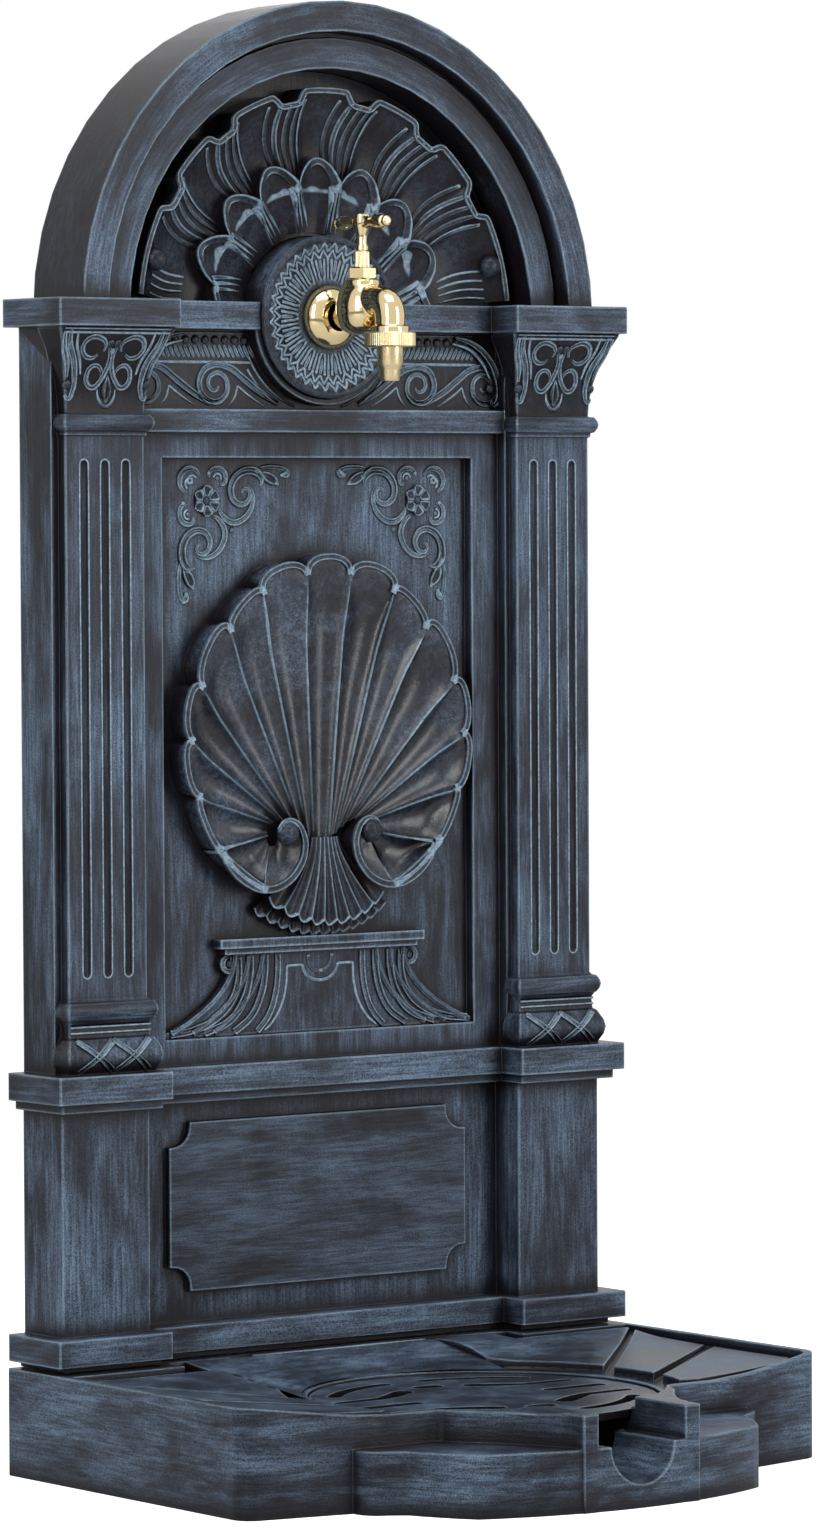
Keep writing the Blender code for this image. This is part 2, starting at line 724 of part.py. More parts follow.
def make_rear_cover():
    """The flat panel that closes the back, with a notch for the supply hose."""
    half = WALL_FIELD[2] - WALL - 0.5
    bottom = COLUMN_BOTTOM + WALL + 0.7
    notch = 16.0
    outline = [(-half, bottom), (-notch, bottom)]
    outline += arc((0.0, bottom + 20.0), notch, 180.0, 0.0, 12)
    outline += [(notch, bottom), (half, bottom), (half, ARCH_Z - 3.6), (ARCH_RADIUS - WALL - 0.5, ARCH_Z - 3.0)]
    outline += arc((0.0, ARCH_Z), ARCH_RADIUS - WALL - 0.5, 0.0, 180.0, 32)
    outline += [(-ARCH_RADIUS + WALL + 0.5, ARCH_Z - 3.0), (-half, ARCH_Z - 3.6)]
    cover = plate("rear_cover", [outline], COVER_OUTER, COVER_OUTER + COVER_THICKNESS, "Y", PARTS, PLASTIC)
    for index, (x, z) in enumerate(COVER_SCREWS):
        hole = cylinder(f"cover_hole_{index + 1}", (x, 5.0, z), (x, -12.0, z), SCREW_RADIUS + 0.4, sides=8)
        boolean(cover, hole)
    return cover


def make_screw(name, head, direction, shank_length):
    """A pan-head screw. Its head rests at a point and its shank runs along a direction."""
    profile = [
        (0.0, SCREW_HEAD_HEIGHT),
        (SCREW_HEAD * 0.75, SCREW_HEAD_HEIGHT * 0.9),
        (SCREW_HEAD, SCREW_HEAD_HEIGHT * 0.35),
        (SCREW_HEAD, 0.0),
        (SCREW_RADIUS, 0.0),
        (SCREW_RADIUS, -shank_length),
        (0.0, -shank_length - 1.0),
    ]
    screw = turned(name, profile, 8, PARTS, STEEL)
    screw.location = [value * MM for value in head]
    turn_to(screw, [-value for value in direction])
    return screw


def make_fasteners():
    for index, (x, z) in enumerate(COVER_SCREWS):
        make_screw(f"rear_cover_screw_{index + 1}", (x, -COVER_OUTER + GAP, z), (0.0, -1.0, 0.0), 12.0)
    for index, (x, y) in enumerate(BASE_SCREWS):
        make_screw(f"column_screw_{index + 1}", (x, y, BASIN_TOP - WALL - GAP), (0.0, 0.0, 1.0), 15.0)
    for index, (x, z) in enumerate(ROSETTE_SCREWS):
        make_screw(f"rosette_screw_{index + 1}", (x, -FLANGE_FRONT + 3.0 + GAP, z), (0.0, -1.0, 0.0), 8.0)
    for name, places in ORNAMENT_SCREWS.items():
        for index, (x, z, inner_face) in enumerate(places):
            make_screw(f"{name}_screw_{index + 1}", (x, -inner_face + GAP, z), (0.0, -1.0, 0.0), 8.0)


# Basin


def upper_outline():
    """Plan of the basin's upper body: wings, front wall, the hollows beside the spout and its jaws."""
    half = [(BASIN_HALF, 0.0), (BASIN_HALF, -250.0)]
    half += arc((BASIN_HALF - 14.0, -250.0), 14.0, -15.0, -75.0, 4)
    half += [(BASIN_HALF - 73.5, -276.0)]
    half += arc((97.0, -284.0), 7.0, 90.0, 160.0, 4)
    half += bowed((86.0, -292.0), (50.0, -348.0), -3.0, 5)
    half += [(NOTCH_HALF + JAW_THICKNESS, -354.0), (NOTCH_HALF + JAW_THICKNESS, -BASIN_FRONT)]
    return both_sides(half)


def ledge_outline():
    """Plan of the lower ledge: an ogee at each side and a broad bow across the front."""
    half = [(158.0, -240.0)]
    half += arc((141.0, -279.0), 17.0, 0.0, -75.0, 5)
    half += bowed((135.0, -303.0), (112.0, -344.0), 1.5, 4)
    bow = 274.5
    middle = -LEDGE_FRONT + bow
    first = math.degrees(math.atan2(-347.0 - middle, 104.0))
    half += arc((0.0, middle), bow, first, -90.0, 10)
    return both_sides(half)


def plateau_outline():
    """Plan of the raised back of the basin, whose edge follows the plinth of the wall."""
    return [
        (BASIN_HALF, 0.0),
        (BASIN_HALF, -BASIN_BACK_LIP),
        (PLATEAU_STEP, -BASIN_BACK_LIP),
        (PLATEAU_STEP, -PLATEAU_MIDDLE),
        (-PLATEAU_STEP, -PLATEAU_MIDDLE),
        (-PLATEAU_STEP, -BASIN_BACK_LIP),
        (-BASIN_HALF, -BASIN_BACK_LIP),
        (-BASIN_HALF, 0.0),
    ]


def sunk_outline():
    """Plan of the sunk top: inside the rim, in front of the plateau and outside the grate's ring."""
    side = BASIN_HALF - RIM_WIDTH
    half = [
        (PLATEAU_STEP, -PLATEAU_MIDDLE),
        (PLATEAU_STEP, -BASIN_BACK_LIP),
        (side, -BASIN_BACK_LIP - 0.5),
        (side, -249.0),
        (side - 5.0, -259.0),
        (side - 13.0, -262.0),
        (157.0, -270.6),
        (100.0, -271.5),
    ]
    half += arc((0.0, GRATE_Y), SEAT_RADIUS + SEAT_LIP - 0.5, -37.0, -90.0, 12)
    return both_sides(half)


def above_dish(name, offset):
    """The space above a shallow cone round the grate, raised or lowered by an offset."""
    lip = SEAT_RADIUS + SEAT_LIP
    rim = 300.0
    inner_z = SEAT_LIP_TOP + offset
    outer_z = inner_z + (rim - lip) * DISH_SLOPE
    profile = [(0.0, 100.0), (rim, 100.0), (rim, outer_z), (lip, inner_z)]
    if offset == -TILE_RISE:
        profile.append((lip, SEAT_LIP_TOP))
    well = SEAT_RADIUS - SEAT_SHELF
    middle = SEAT_TOP - 10.0
    profile += [(well, profile[-1][1]), (well, middle), (0.0, middle)]
    made = turned(name, profile, ROUND_SIDES, CUTTERS)
    made.location = (0.0, GRATE_Y * MM, 0.0)
    made.rotation_euler = (0.0, 0.0, math.pi / ROUND_SIDES)
    return made


def tile_outlines():
    """Three raised draining tiles on one wing, between grooves that fan out from the grate."""
    centre = (0.0, GRATE_Y)
    outer = BASIN_HALF - RIM_WIDTH - 6.0
    first = [(74.0, -88.0), (74.0, -BASIN_BACK_LIP - 1.0), (outer, -BASIN_BACK_LIP - 1.0), (outer, -75.0)]
    first += arc(centre, 133.0, 16.0, 52.0, 8)
    second = [(outer, -84.0), (outer, -158.0)]
    second += arc(centre, 130.0, -6.0, 11.5, 5)
    third = [(outer, -168.0), (outer, -248.0), (208.0, -256.0), (155.0, -264.5), (126.0, -264.5)]
    third += arc(centre, 130.0, -24.0, -11.0, 3)
    return [first, second, third]


def rim_wedge():
    """What is cut off the front rim, which falls from the corners to the middle."""
    half = BASIN_HALF + 1.0
    top = BASIN_TOP
    line = [(half, top + 0.4), (half - 8.5, top), (half - 67.5, top - 7.5), (132.0, top - 10.0)]
    line += [(56.0, top - 10.0), (48.0, top - 8.5)]
    outline = line + [(-x, z) for x, z in reversed(line)] + [(-half, top + 25.0), (half, top + 25.0)]
    return plate("rim_wedge", [outline], 235.0, 380.0, "Y")


def back_slope():
    """The slope that falls from the plateau to the grate's ring."""
    front = GRATE_Y + SEAT_RADIUS + SEAT_LIP - 6.0
    rings = []
    for x in (-SLOPE_HALF, SLOPE_HALF):
        rings.append(
            [
                (x, -PLATEAU_MIDDLE + 2.0, BASIN_TOP - 0.6),
                (x, -PLATEAU_MIDDLE, BASIN_TOP - 0.6),
                (x, front, SEAT_LIP_TOP - 1.0),
                (x, front, 42.0),
                (x, -PLATEAU_MIDDLE + 2.0, 42.0),
            ]
        )
    return skin("back_slope", rings)


def hollow_under_basin():
    """The open space inside the shell, round the sump and the drain channel."""
    hollow = plate("hollow_wings", [offset_outline(upper_outline(), -WALL)], -5.0, BASIN_TOP - WALL)
    boolean(hollow, above_dish("above_deck", -TILE_RISE - WALL))
    plateau = plate("hollow_plateau", [offset_outline(plateau_outline(), -WALL)], 20.0, BASIN_TOP - WALL)
    boolean(hollow, plateau, "UNION")
    boolean(hollow, box("front_keep", (-BASIN_HALF, -400.0, LEDGE_TOP - WALL), (BASIN_HALF, -262.0, BASIN_TOP + 10.0)))
    below = plate("hollow_ledge", [offset_outline(ledge_outline(), -WALL)], -5.0, LEDGE_TOP - WALL)
    boolean(hollow, below, "UNION")
    lip = SEAT_RADIUS + SEAT_LIP
    wall = SEAT_RADIUS - SEAT_SHELF + WALL
    bottom = SUMP_FLOOR - WALL
    keep = turned(
        "sump_keep",
        [(0.0, 90.0), (lip, 90.0), (lip, SEAT_TOP - 3.0), (wall, SEAT_TOP - 10.0), (wall, bottom), (0.0, bottom)],
        ROUND_SIDES,
        CUTTERS,
    )
    keep.location = (0.0, GRATE_Y * MM, 0.0)
    boolean(hollow, keep)
    tunnel = cylinder(
        "channel_keep", (0.0, -400.0, LEDGE_TOP), (0.0, -280.0, LEDGE_TOP), CHANNEL_RADIUS + WALL, sides=28
    )
    boolean(hollow, tunnel)
    return hollow


def make_basin():
    """The basin: a shell open underneath, with a sump under the grate and a spout at the front."""
    basin = plate("basin", [upper_outline()], 0.0, BASIN_TOP, "Z", PARTS, PLASTIC)
    boolean(basin, plate("ledge_form", [ledge_outline()], 0.0, LEDGE_TOP), "UNION")
    boolean(basin, rim_wedge())
    sunk = above_dish("sunk_top", -TILE_RISE)
    boolean(sunk, plate("sunk_area", [sunk_outline()], 40.0, 110.0), "INTERSECT")
    boolean(basin, sunk)
    tiles = plate("tile_forms", tile_outlines(), 46.0, 90.0)
    mirror_x(tiles)
    boolean(tiles, above_dish("above_tiles", 0.0))
    boolean(basin, tiles, "UNION")
    boolean(basin, back_slope(), "UNION")
    for name, radius, low in (
        ("seat", SEAT_RADIUS, SEAT_TOP),
        ("sump", SEAT_RADIUS - SEAT_SHELF, SUMP_FLOOR),
    ):
        boolean(basin, cylinder(name, (0.0, GRATE_Y, low), (0.0, GRATE_Y, 95.0), radius, sides=ROUND_SIDES))
    boolean(basin, box("notch", (-NOTCH_HALF, -BASIN_FRONT - 9.0, LEDGE_TOP), (NOTCH_HALF, -300.0, 95.0)))
    channel = cylinder(
        "channel", (0.0, -LEDGE_FRONT - 5.0, LEDGE_TOP), (0.0, -295.0, LEDGE_TOP), CHANNEL_RADIUS, sides=28
    )
    boolean(basin, channel)
    boolean(basin, hollow_under_basin())
    for index, (x, y) in enumerate(BASE_SCREWS):
        hole = cylinder(f"base_hole_{index + 1}", (x, y, BASIN_TOP - 15.0), (x, y, BASIN_TOP + 10.0), SCREW_RADIUS + 0.5, sides=8)
        boolean(basin, hole)
    return basin


def ribbon(path, widths, round_steps=4):
    """The outline of a strip with round ends along a path, with a width at each point."""
    left = []
    right = []
    for i, (x, y) in enumerate(path):
        first = path[max(0, i - 1)]
        last = path[min(len(path) - 1, i + 1)]
        along = Vector((last[0] - first[0], last[1] - first[1])).normalized()
        half = widths[i] / 2
        left.append((x - along.y * half, y + along.x * half))
        right.append((x + along.y * half, y - along.x * half))
    outline = list(right)
    outline += round_end(path[-1], right[-1], left[-1], round_steps)
    outline += reversed(left)
    outline += round_end(path[0], left[0], right[0], round_steps)
    return outline


def round_end(centre, start, end, steps):
    """Points between two ends of a half circle, turning anticlockwise."""
    radius = math.hypot(start[0] - centre[0], start[1] - centre[1])
    angle = math.degrees(math.atan2(start[1] - centre[1], start[0] - centre[0]))
    return arc(centre, radius, angle, angle + 180.0, steps)[1:-1]


def make_grate():
    """The round grate with its pattern of slots, mirrored in both directions."""
    radius = SEAT_RADIUS - GRATE_CLEARANCE
    low = SEAT_TOP + GAP
    grate = cylinder(
        "grate", (0.0, GRATE_Y, low), (0.0, GRATE_Y, low + GRATE_THICKNESS), radius, PARTS, PLASTIC, ROUND_SIDES
    )
    straight = ribbon([(54.0, 0.0), (94.0, 0.0)], [10.0, 10.0])
    bent = ribbon([(92.0, 31.0), (58.0, 32.0), (42.0, 40.0), (28.0, 49.0)], [8.0, 9.0, 12.0, 13.0])
    sweep = []
    for i in range(8):
        t = i / 7
        angle = math.radians(37.0 + 43.0 * t)
        reach = 96.0 - 8.0 * t
        sweep.append((reach * math.cos(angle), reach * math.sin(angle)))
    curved = ribbon(sweep, [9.0] * len(sweep))
    small = ribbon([(-5.0, 60.0), (5.0, 60.0)], [12.0, 12.0])
    for name, outlines, axes in (
        ("side_slots", [straight], (True, False, False)),
        ("corner_slots", [bent, curved], (True, True, False)),
        ("small_slots", [small], (False, True, False)),
    ):
        cutter = plate(name, outlines, low - 5.0, low + GRATE_THICKNESS + 5.0)
        cutter.location = (0.0, GRATE_Y * MM, 0.0)
        mirror = cutter.modifiers.new("Mirror", "MIRROR")
        mirror.use_axis = axes
        boolean(grate, cutter)
    origin_at(grate, (0.0, GRATE_Y, low))
    return grate


# Ornaments: separate mouldings fixed from inside


def lobe(position):
    """How far a place is from the middle of its flute: 1 in the middle, 0 on the ridge beside it."""
    offset = position - round(position)
    return math.cos(math.pi * offset)


def screw_pilots(item, name):
    for index, (x, z, inner_face) in enumerate(ORNAMENT_SCREWS[name]):
        pilot = cylinder(
            f"{name}_pilot_{index + 1}", (x, -inner_face, z), (x, -inner_face - 9.7, z), PILOT_RADIUS, sides=8
        )
        boolean(item, pilot)


def shell_section(angle, back):
    """Section of the tympanum shell at an angle: two fluted tiers, then the flat back."""
    flute = lobe((angle - 90.0) / TYMPANUM_LOBE)
    outer = TYMPANUM_RIM - 5.0 * (1.0 - flute)
    inner = TYMPANUM_TIER - 8.0 * (1.0 - flute)
    scoop = 5.0 * flute
    rosette_edge = ROSETTE_RADIUS + 4.0
    points = [
        (rosette_edge, 24.0),
        (rosette_edge + 20.5, 22.5 - 0.4 * scoop),
        (inner - 4.0, 28.0 - 0.3 * scoop),
        (inner, 29.0),
        (inner + 1.5, 23.0 - 0.5 * scoop),
        (TYMPANUM_RIM - 35.0, 27.0 - scoop),
        (TYMPANUM_RIM - 17.0, 33.0 - scoop),
        (outer - 5.0, 39.0 - 0.6 * scoop),
        (outer - 2.0, TYMPANUM_FRONT),
        (outer, TYMPANUM_FRONT - 1.0),
        (outer + 0.5, back),
        (rosette_edge, back),
    ]
    c = math.cos(math.radians(angle))
    s = math.sin(math.radians(angle))
    return [(r * c, -front, ARCH_Z + r * s) for r, front in points]


def make_tympanum_shell():
    """The half shell under the arch: a loft of sections round the rosette, cut level above the cornice."""
    back = TYMPANUM_FLOOR + GAP
    steps = 52
    rings = [shell_section(1.5 + 177.0 * i / steps, back) for i in range(steps + 1)]
    shell = skin("tympanum_shell", rings, PARTS, PLASTIC)
    shade(shell)
    for side in (1, -1):
        boolean(shell, ball(f"tympanum_ball_{side + 2}", (side * (TYMPANUM_RIM - 13.5), -34.0, ARCH_Z + 37.0), 7.5), "UNION")
    boolean(shell, box("below_tympanum", (-ARCH_RADIUS, -60.0, ARCH_Z - 49.0), (ARCH_RADIUS, 0.0, CORNICE[1] + GAP)))
    screw_pilots(shell, "tympanum")
    return shell


def ball(name, centre, radius):
    mesh = bpy.data.meshes.new(name)
    work = bmesh.new()
    bmesh.ops.create_uvsphere(work, u_segments=12, v_segments=8, radius=radius * MM)
    bmesh.ops.translate(work, verts=work.verts, vec=[value * MM for value in centre])
    work.to_mesh(mesh)
    work.free()
    return put(name, mesh, CUTTERS)


def ridge_end(table, place):
    """A point between the ends of two neighbouring ridges, which lie at half places."""
    if place < 0.5:
        return [table[0][0] * place * 2.0, table[0][1]]
    low = min(int(place - 0.5), len(table) - 2)
    t = place - 0.5 - low
    return [a + (b - a) * t for a, b in zip(table[low], table[low + 1])]


def scallop_section(position, back):
    """Section of the scallop along one line of its fan. Whole positions lie in the middle of a lobe."""
    side = 1.0 if position >= 0 else -1.0
    place = abs(position)
    hollow = abs(math.cos(math.pi * place))
    start = Vector(ridge_end(SCALLOP_INNER, place))
    across = Vector(ridge_end(SCALLOP_OUTER, place)) - start
    reach = across.length * (1.0 + SCALLOP_SWELL * hollow)
    along = across.normalized()
    points = []
    for t, front in SCALLOP_PROFILE:
        depth = 3.2 * hollow * math.sin(math.pi * min(1.0, t * 1.05)) ** 0.7
        place_on_line = start + along * (t * reach)
        points.append((side * place_on_line.x, -(front - depth), SCALLOP_Z + place_on_line.y))
    points.append((points[-1][0], -back, points[-1][2]))
    points.append((points[0][0], -back, points[0][2]))
    return points


def make_scallop_shell():
    """The scallop on the wall panel: a loft of its fifteen lobes, with the draped fan and two volutes."""
    back = WALL_FIELD[5] + GAP
    lobes = 2 * len(SCALLOP_OUTER) - 1
    steps = 4 * lobes
    positions = [lobes * (i / steps - 0.5) for i in range(steps + 1)]
    shell = skin("scallop_shell", [scallop_section(p, back) for p in positions], PARTS, PLASTIC)
    shade(shell)
    rings = []
    for i in range(19):
        turn = -1.0 + i / 9
        rings.append(drape_section(turn, back))
    boolean(shell, skin("scallop_drape", rings), "UNION")
    boolean(shell, skin("scallop_hinge", hinge_sections(back)), "UNION")
    for side in (1, -1):
        boolean(shell, ball(f"scallop_volute_{side + 2}", (side * 34.0, -29.0, SCALLOP_Z + 7.0), 8.0), "UNION")
    screw_pilots(shell, "scallop")
    return shell


def hinge_sections(back):
    """The plain ground that joins the lobes, the volutes and the drape."""
    return [
        [(x, -front, SCALLOP_Z + rise) for front, rise in ((back, -6.0), (back, 20.0), (26.0, 20.0), (26.0, -6.0))]
        for x in (-40.0, 40.0)
    ]


def drape_section(turn, back):
    """Section of the fluted drape under the hinge, from its waist down to its scalloped hem."""
    flute = lobe(turn * 4.5)
    lean = abs(turn)
    waist = (12.0 * turn, SCALLOP_Z + 2.0)
    hem = (56.0 * turn, SCALLOP_Z - 59.0 + 20.0 * lean ** 2.4 - 2.0 * flute)
    points = []
    for t, front in ((0.0, 31.0), (0.35, 29.0), (0.7, 31.5), (0.93, 35.5), (1.0, 34.5)):
        spread = t ** 1.25
        x = waist[0] + (hem[0] - waist[0]) * spread
        z = waist[1] + (hem[1] - waist[1]) * t
        points.append((x, -(front - 1.6 * flute * t), z))
    points.append((points[-1][0], -back, points[-1][2]))
    points.append((points[0][0], -back, points[0][2]))
    return points


def bracket_outline():
    """Half outline of the cartouche bracket under its shelf: a waist that flares to the feet."""
    low = FRAME_BOTTOM
    half = [(74.0, low + 55.6)]
    for i in range(8):
        t = i / 7
        half.append((72.0 + 5.0 * t + 48.0 * t ** 2.6, low + 52.6 - 49.0 * t))
    half.append((FRAME_INNER - 0.6, low + 0.4))
    return half + [(-x, z) for x, z in reversed(half)]


def make_cartouche_bracket():
    """The bracket under the scallop: a shelf on a flared body with three ribs on each side."""
    back = WALL_FIELD[5] + GAP
    bracket = plate("cartouche_bracket", [bracket_outline()], back, 26.0, "Y", PARTS, PLASTIC)
    foot = FRAME_BOTTOM
    for name, half, low, high, front in (("shelf", 83.0, 57.6, 63.6, 31.0), ("fillet", 78.5, 53.6, 58.6, 29.0)):
        shelf = box(f"bracket_{name}", (-half, -front, foot + low), (half, -back, foot + high))
        boolean(bracket, shelf, "UNION")
    for rib in range(3):
        path = []
        for i in range(9):
            t = i / 8
            side = 68.0 - 11.0 * rib + 4.0 * t + (48.0 - 6.0 * rib) * t ** 2.4
            path.append((side, -25.6, foot + 55.6 - 53.0 * t))
        ribs = tube(f"bracket_rib_{rib + 1}", path, [2.4] * 9, CUTTERS, None, 1)
        mirror_x(ribs)
        boolean(bracket, ribs, "UNION")
    screw_pilots(bracket, "bracket")
    return bracket


def make_rosette():
    """The round disc that carries the tap: a cup with a flange behind the wall."""
    profile = [
        (INLET_RADIUS + 0.4, 40.0),
        (24.0, 40.0),
        (26.0, 38.8),
        (43.0, 38.8),
        (46.5, 41.0),
        (51.5, 41.0),
        (ROSETTE_RADIUS, 39.2),
        (ROSETTE_RADIUS, FLANGE_FRONT),
        (ROSETTE_FLANGE, FLANGE_FRONT),
        (ROSETTE_FLANGE, FLANGE_FRONT - 3.0),
        (ROSETTE_RADIUS - WALL, FLANGE_FRONT - 3.0),
        (ROSETTE_RADIUS - WALL, 34.8),
        (INLET_RADIUS + 0.4, 34.8),
        (INLET_RADIUS + 0.4, 40.0),
    ]
    rosette = turned("rosette", profile, 36, PARTS, PLASTIC)
    front_facing(rosette, TAP_Z)
    for index, (x, z) in enumerate(ROSETTE_SCREWS):
        hole = cylinder(f"flange_hole_{index + 1}", (x, 0.0, z), (x, -20.0, z), SCREW_RADIUS + 0.4, sides=8)
        boolean(rosette, hole)
    return rosette


# Tap


def ring(name, low, high, outer, inner, look, y, steps=24):
    """A plain washer or packing ring round an upright line of the tap."""
    made = turned(name, ring_profile(inner, outer, low, high), steps, PARTS, look)
    at_tap(made, y)
    return made


def at_tap(item, y=0.0, height=0.0):
    """Puts a piece of the tap in place. Its own heights are counted from the tap's level axis."""
    item.location = (0.0, y * MM, (TAP_Z + height) * MM)


def cutters_at_tap(item, y=0.0):
    """Puts the forms that a piece's Booleans add or cut in place with it."""
    for modifier in item.modifiers:
        if modifier.type == "BOOLEAN":
            at_tap(modifier.object, y)


def make_tap_body():
    """The cast body: threaded inlet, bulb with the valve chamber, and the spout bent down to its outlet."""
    profile = [
        (0.0, 23.5),
        (11.4, 23.5),
        (11.8, 20.5),
        (15.5, 15.5),
        (17.6, 7.5),
        (17.6, -0.5),
        (14.5, -8.5),
        (8.0, -12.1),
        (0.0, -12.9),
    ]
    body = turned("tap_body", profile, 20, PARTS, BRASS)
    at_tap(body, SPINDLE_Y)
    inlet = cylinder("inlet_form", (0.0, -15.0, 0.0), (0.0, -42.0, 0.0), INLET_RADIUS, sides=24)
    boolean(body, inlet, "UNION")
    neck = tube("neck_form", [(0.0, -41.0, 0.0), (0.0, -52.0, 0.0), (0.0, -70.0, 1.0)], [9.0, 7.8, 11.0])
    boolean(body, neck, "UNION")
    path = [(0.0, -78.0, 8.5), (0.0, -88.0, 9.7)]
    for y, z in arc((97.0, -1.5), 10.5, 90.0, 0.0, 5):
        path.append((0.0, -y, z))
    path += [(0.0, OUTLET_Y, -8.5), (0.0, OUTLET_Y, -15.5)]
    boolean(body, tube("spout_form", path, [12.0, 11.0] + [10.0] * 6 + [9.6, 9.6]), "UNION")
    collar = cylinder(
        "outlet_collar_form", (0.0, OUTLET_Y, -15.5), (0.0, OUTLET_Y, -7.5), OUTLET_RADIUS, sides=24
    )
    boolean(body, collar, "UNION")
    boolean(body, cylinder("inlet_bore", (0.0, -5.0, 0.0), (0.0, SPINDLE_Y, 0.0), 4.2, sides=14))
    for name, radius, low, high in (
        ("lower_chamber", 5.6, -6.0, 4.7),
        ("seat_hole", 4.0, 0.5, 10.5),
        ("valve_chamber", CHAMBER_RADIUS, SEAT_HEIGHT, 30.5),
    ):
        cutter = cylinder(name, (0.0, SPINDLE_Y, low), (0.0, SPINDLE_Y, high), radius, sides=20)
        boolean(body, cutter)
    water = [(0.0, -79.0, 11.5), (0.0, -90.0, 11.0)]
    for y, z in arc((97.0, -1.5), 10.5, 80.0, 0.0, 4):
        water.append((0.0, -y, z))
    water.append((0.0, OUTLET_Y, -21.5))
    boolean(body, tube("outlet_bore", water, [3.6] * len(water), sides=2))
    cutters_at_tap(body)
    return body


def make_tap():
    """The bib tap, from the backnut behind the rosette to the hose tail."""
    make_tap_body()
    escutcheon = turned(
        "escutcheon",
        [
            (9.6, 52.0),
            (13.0, 51.4),
            (17.5, 48.0),
            (20.4, 43.5),
            (21.0, 40.3),
            (19.4, 40.3),
            (18.6, 43.5),
            (16.0, 46.6),
            (12.5, 49.4),
            (9.6, 49.8),
            (9.6, 52.0),
        ],
        24,
        PARTS,
        BRASS,
    )
    front_facing(escutcheon, TAP_Z)
    washer = turned("tap_sealing_washer", ring_profile(INLET_RADIUS + 0.3, 17.0, 32.5, 34.5), 24, PARTS, RUBBER)
    front_facing(washer, TAP_Z)
    make_backnut()
    make_headgear()
    make_valve()
    make_handle()
    make_hose_end()


def hexagon(name, across_flats, low, high, collection=CUTTERS, look=None):
    """A hexagonal prism round the spindle's line."""
    return cylinder(name, (0.0, 0.0, low), (0.0, 0.0, high), across_flats / math.sqrt(3.0), collection, look, 6)


def make_backnut():
    """The hexagonal nut that clamps the tap to the rosette from behind."""
    nut = hexagon("tap_backnut", 27.0, 25.2, 32.2, PARTS, SATIN_BRASS)
    bore = cylinder("backnut_bore", (0.0, 0.0, 20.0), (0.0, 0.0, 40.0), INLET_RADIUS + 0.3, sides=24)
    boolean(nut, bore)
    for each in (nut, bore):
        front_facing(each, TAP_Z)
    return nut


def make_headgear():
    """Bonnet, packing nut and packing ring round the spindle."""
    bonnet = hexagon("bonnet", 17.0, 23.8, 31.5, PARTS, BRASS)
    plug = cylinder("bonnet_plug", (0.0, 0.0, 16.5), (0.0, 0.0, 24.5), CHAMBER_RADIUS - GAP, sides=20)
    boolean(bonnet, plug, "UNION")
    gland = cylinder("bonnet_gland", (0.0, 0.0, 30.5), (0.0, 0.0, 36.5), 3.9, sides=16)
    boolean(bonnet, gland, "UNION")
    for name, radius, low, high in (
        ("carrier_bore", 6.5, 10.5, 27.1),
        ("collar_bore", 3.9, 26.5, 29.7),
        ("stem_bore", SPINDLE_RADIUS + 0.3, 29.5, 40.5),
    ):
        boolean(bonnet, cylinder(name, (0.0, 0.0, low), (0.0, 0.0, high), radius, sides=16))
    at_tap(bonnet, SPINDLE_Y)
    cutters_at_tap(bonnet, SPINDLE_Y)
    nut = turned(
        "packing_nut",
        [
            (SPINDLE_RADIUS + 0.3, 42.2),
            (4.2, 42.2),
            (4.9, 41.3),
            (4.9, 31.9),
            (4.2, 31.9),
            (4.2, 39.4),
            (SPINDLE_RADIUS + 0.3, 39.4),
            (SPINDLE_RADIUS + 0.3, 42.2),
        ],
        16,
        PARTS,
        BRASS,
    )
    at_tap(nut, SPINDLE_Y)
    ring("packing_ring", 36.8, 39.1, 3.7, SPINDLE_RADIUS + 0.25, RUBBER, SPINDLE_Y, 16)


def make_valve():
    """The rising carrier on the spindle's thread, and the rubber washer that meets the seat."""
    carrier = turned(
        "valve_carrier",
        [
            (0.0, 12.3),
            (SPINDLE_RADIUS + 0.3, 12.3),
            (SPINDLE_RADIUS + 0.3, 21.5),
            (6.1, 21.5),
            (6.1, 10.7),
            (0.0, 10.7),
        ],
        16,
        PARTS,
        SATIN_BRASS,
    )
    at_tap(carrier, SPINDLE_Y)
    washer = turned(
        "valve_washer", [(0.0, 10.4), (5.6, 10.4), (5.6, 7.9), (0.0, 7.9)], 16, PARTS, RUBBER
    )
    at_tap(washer, SPINDLE_Y)


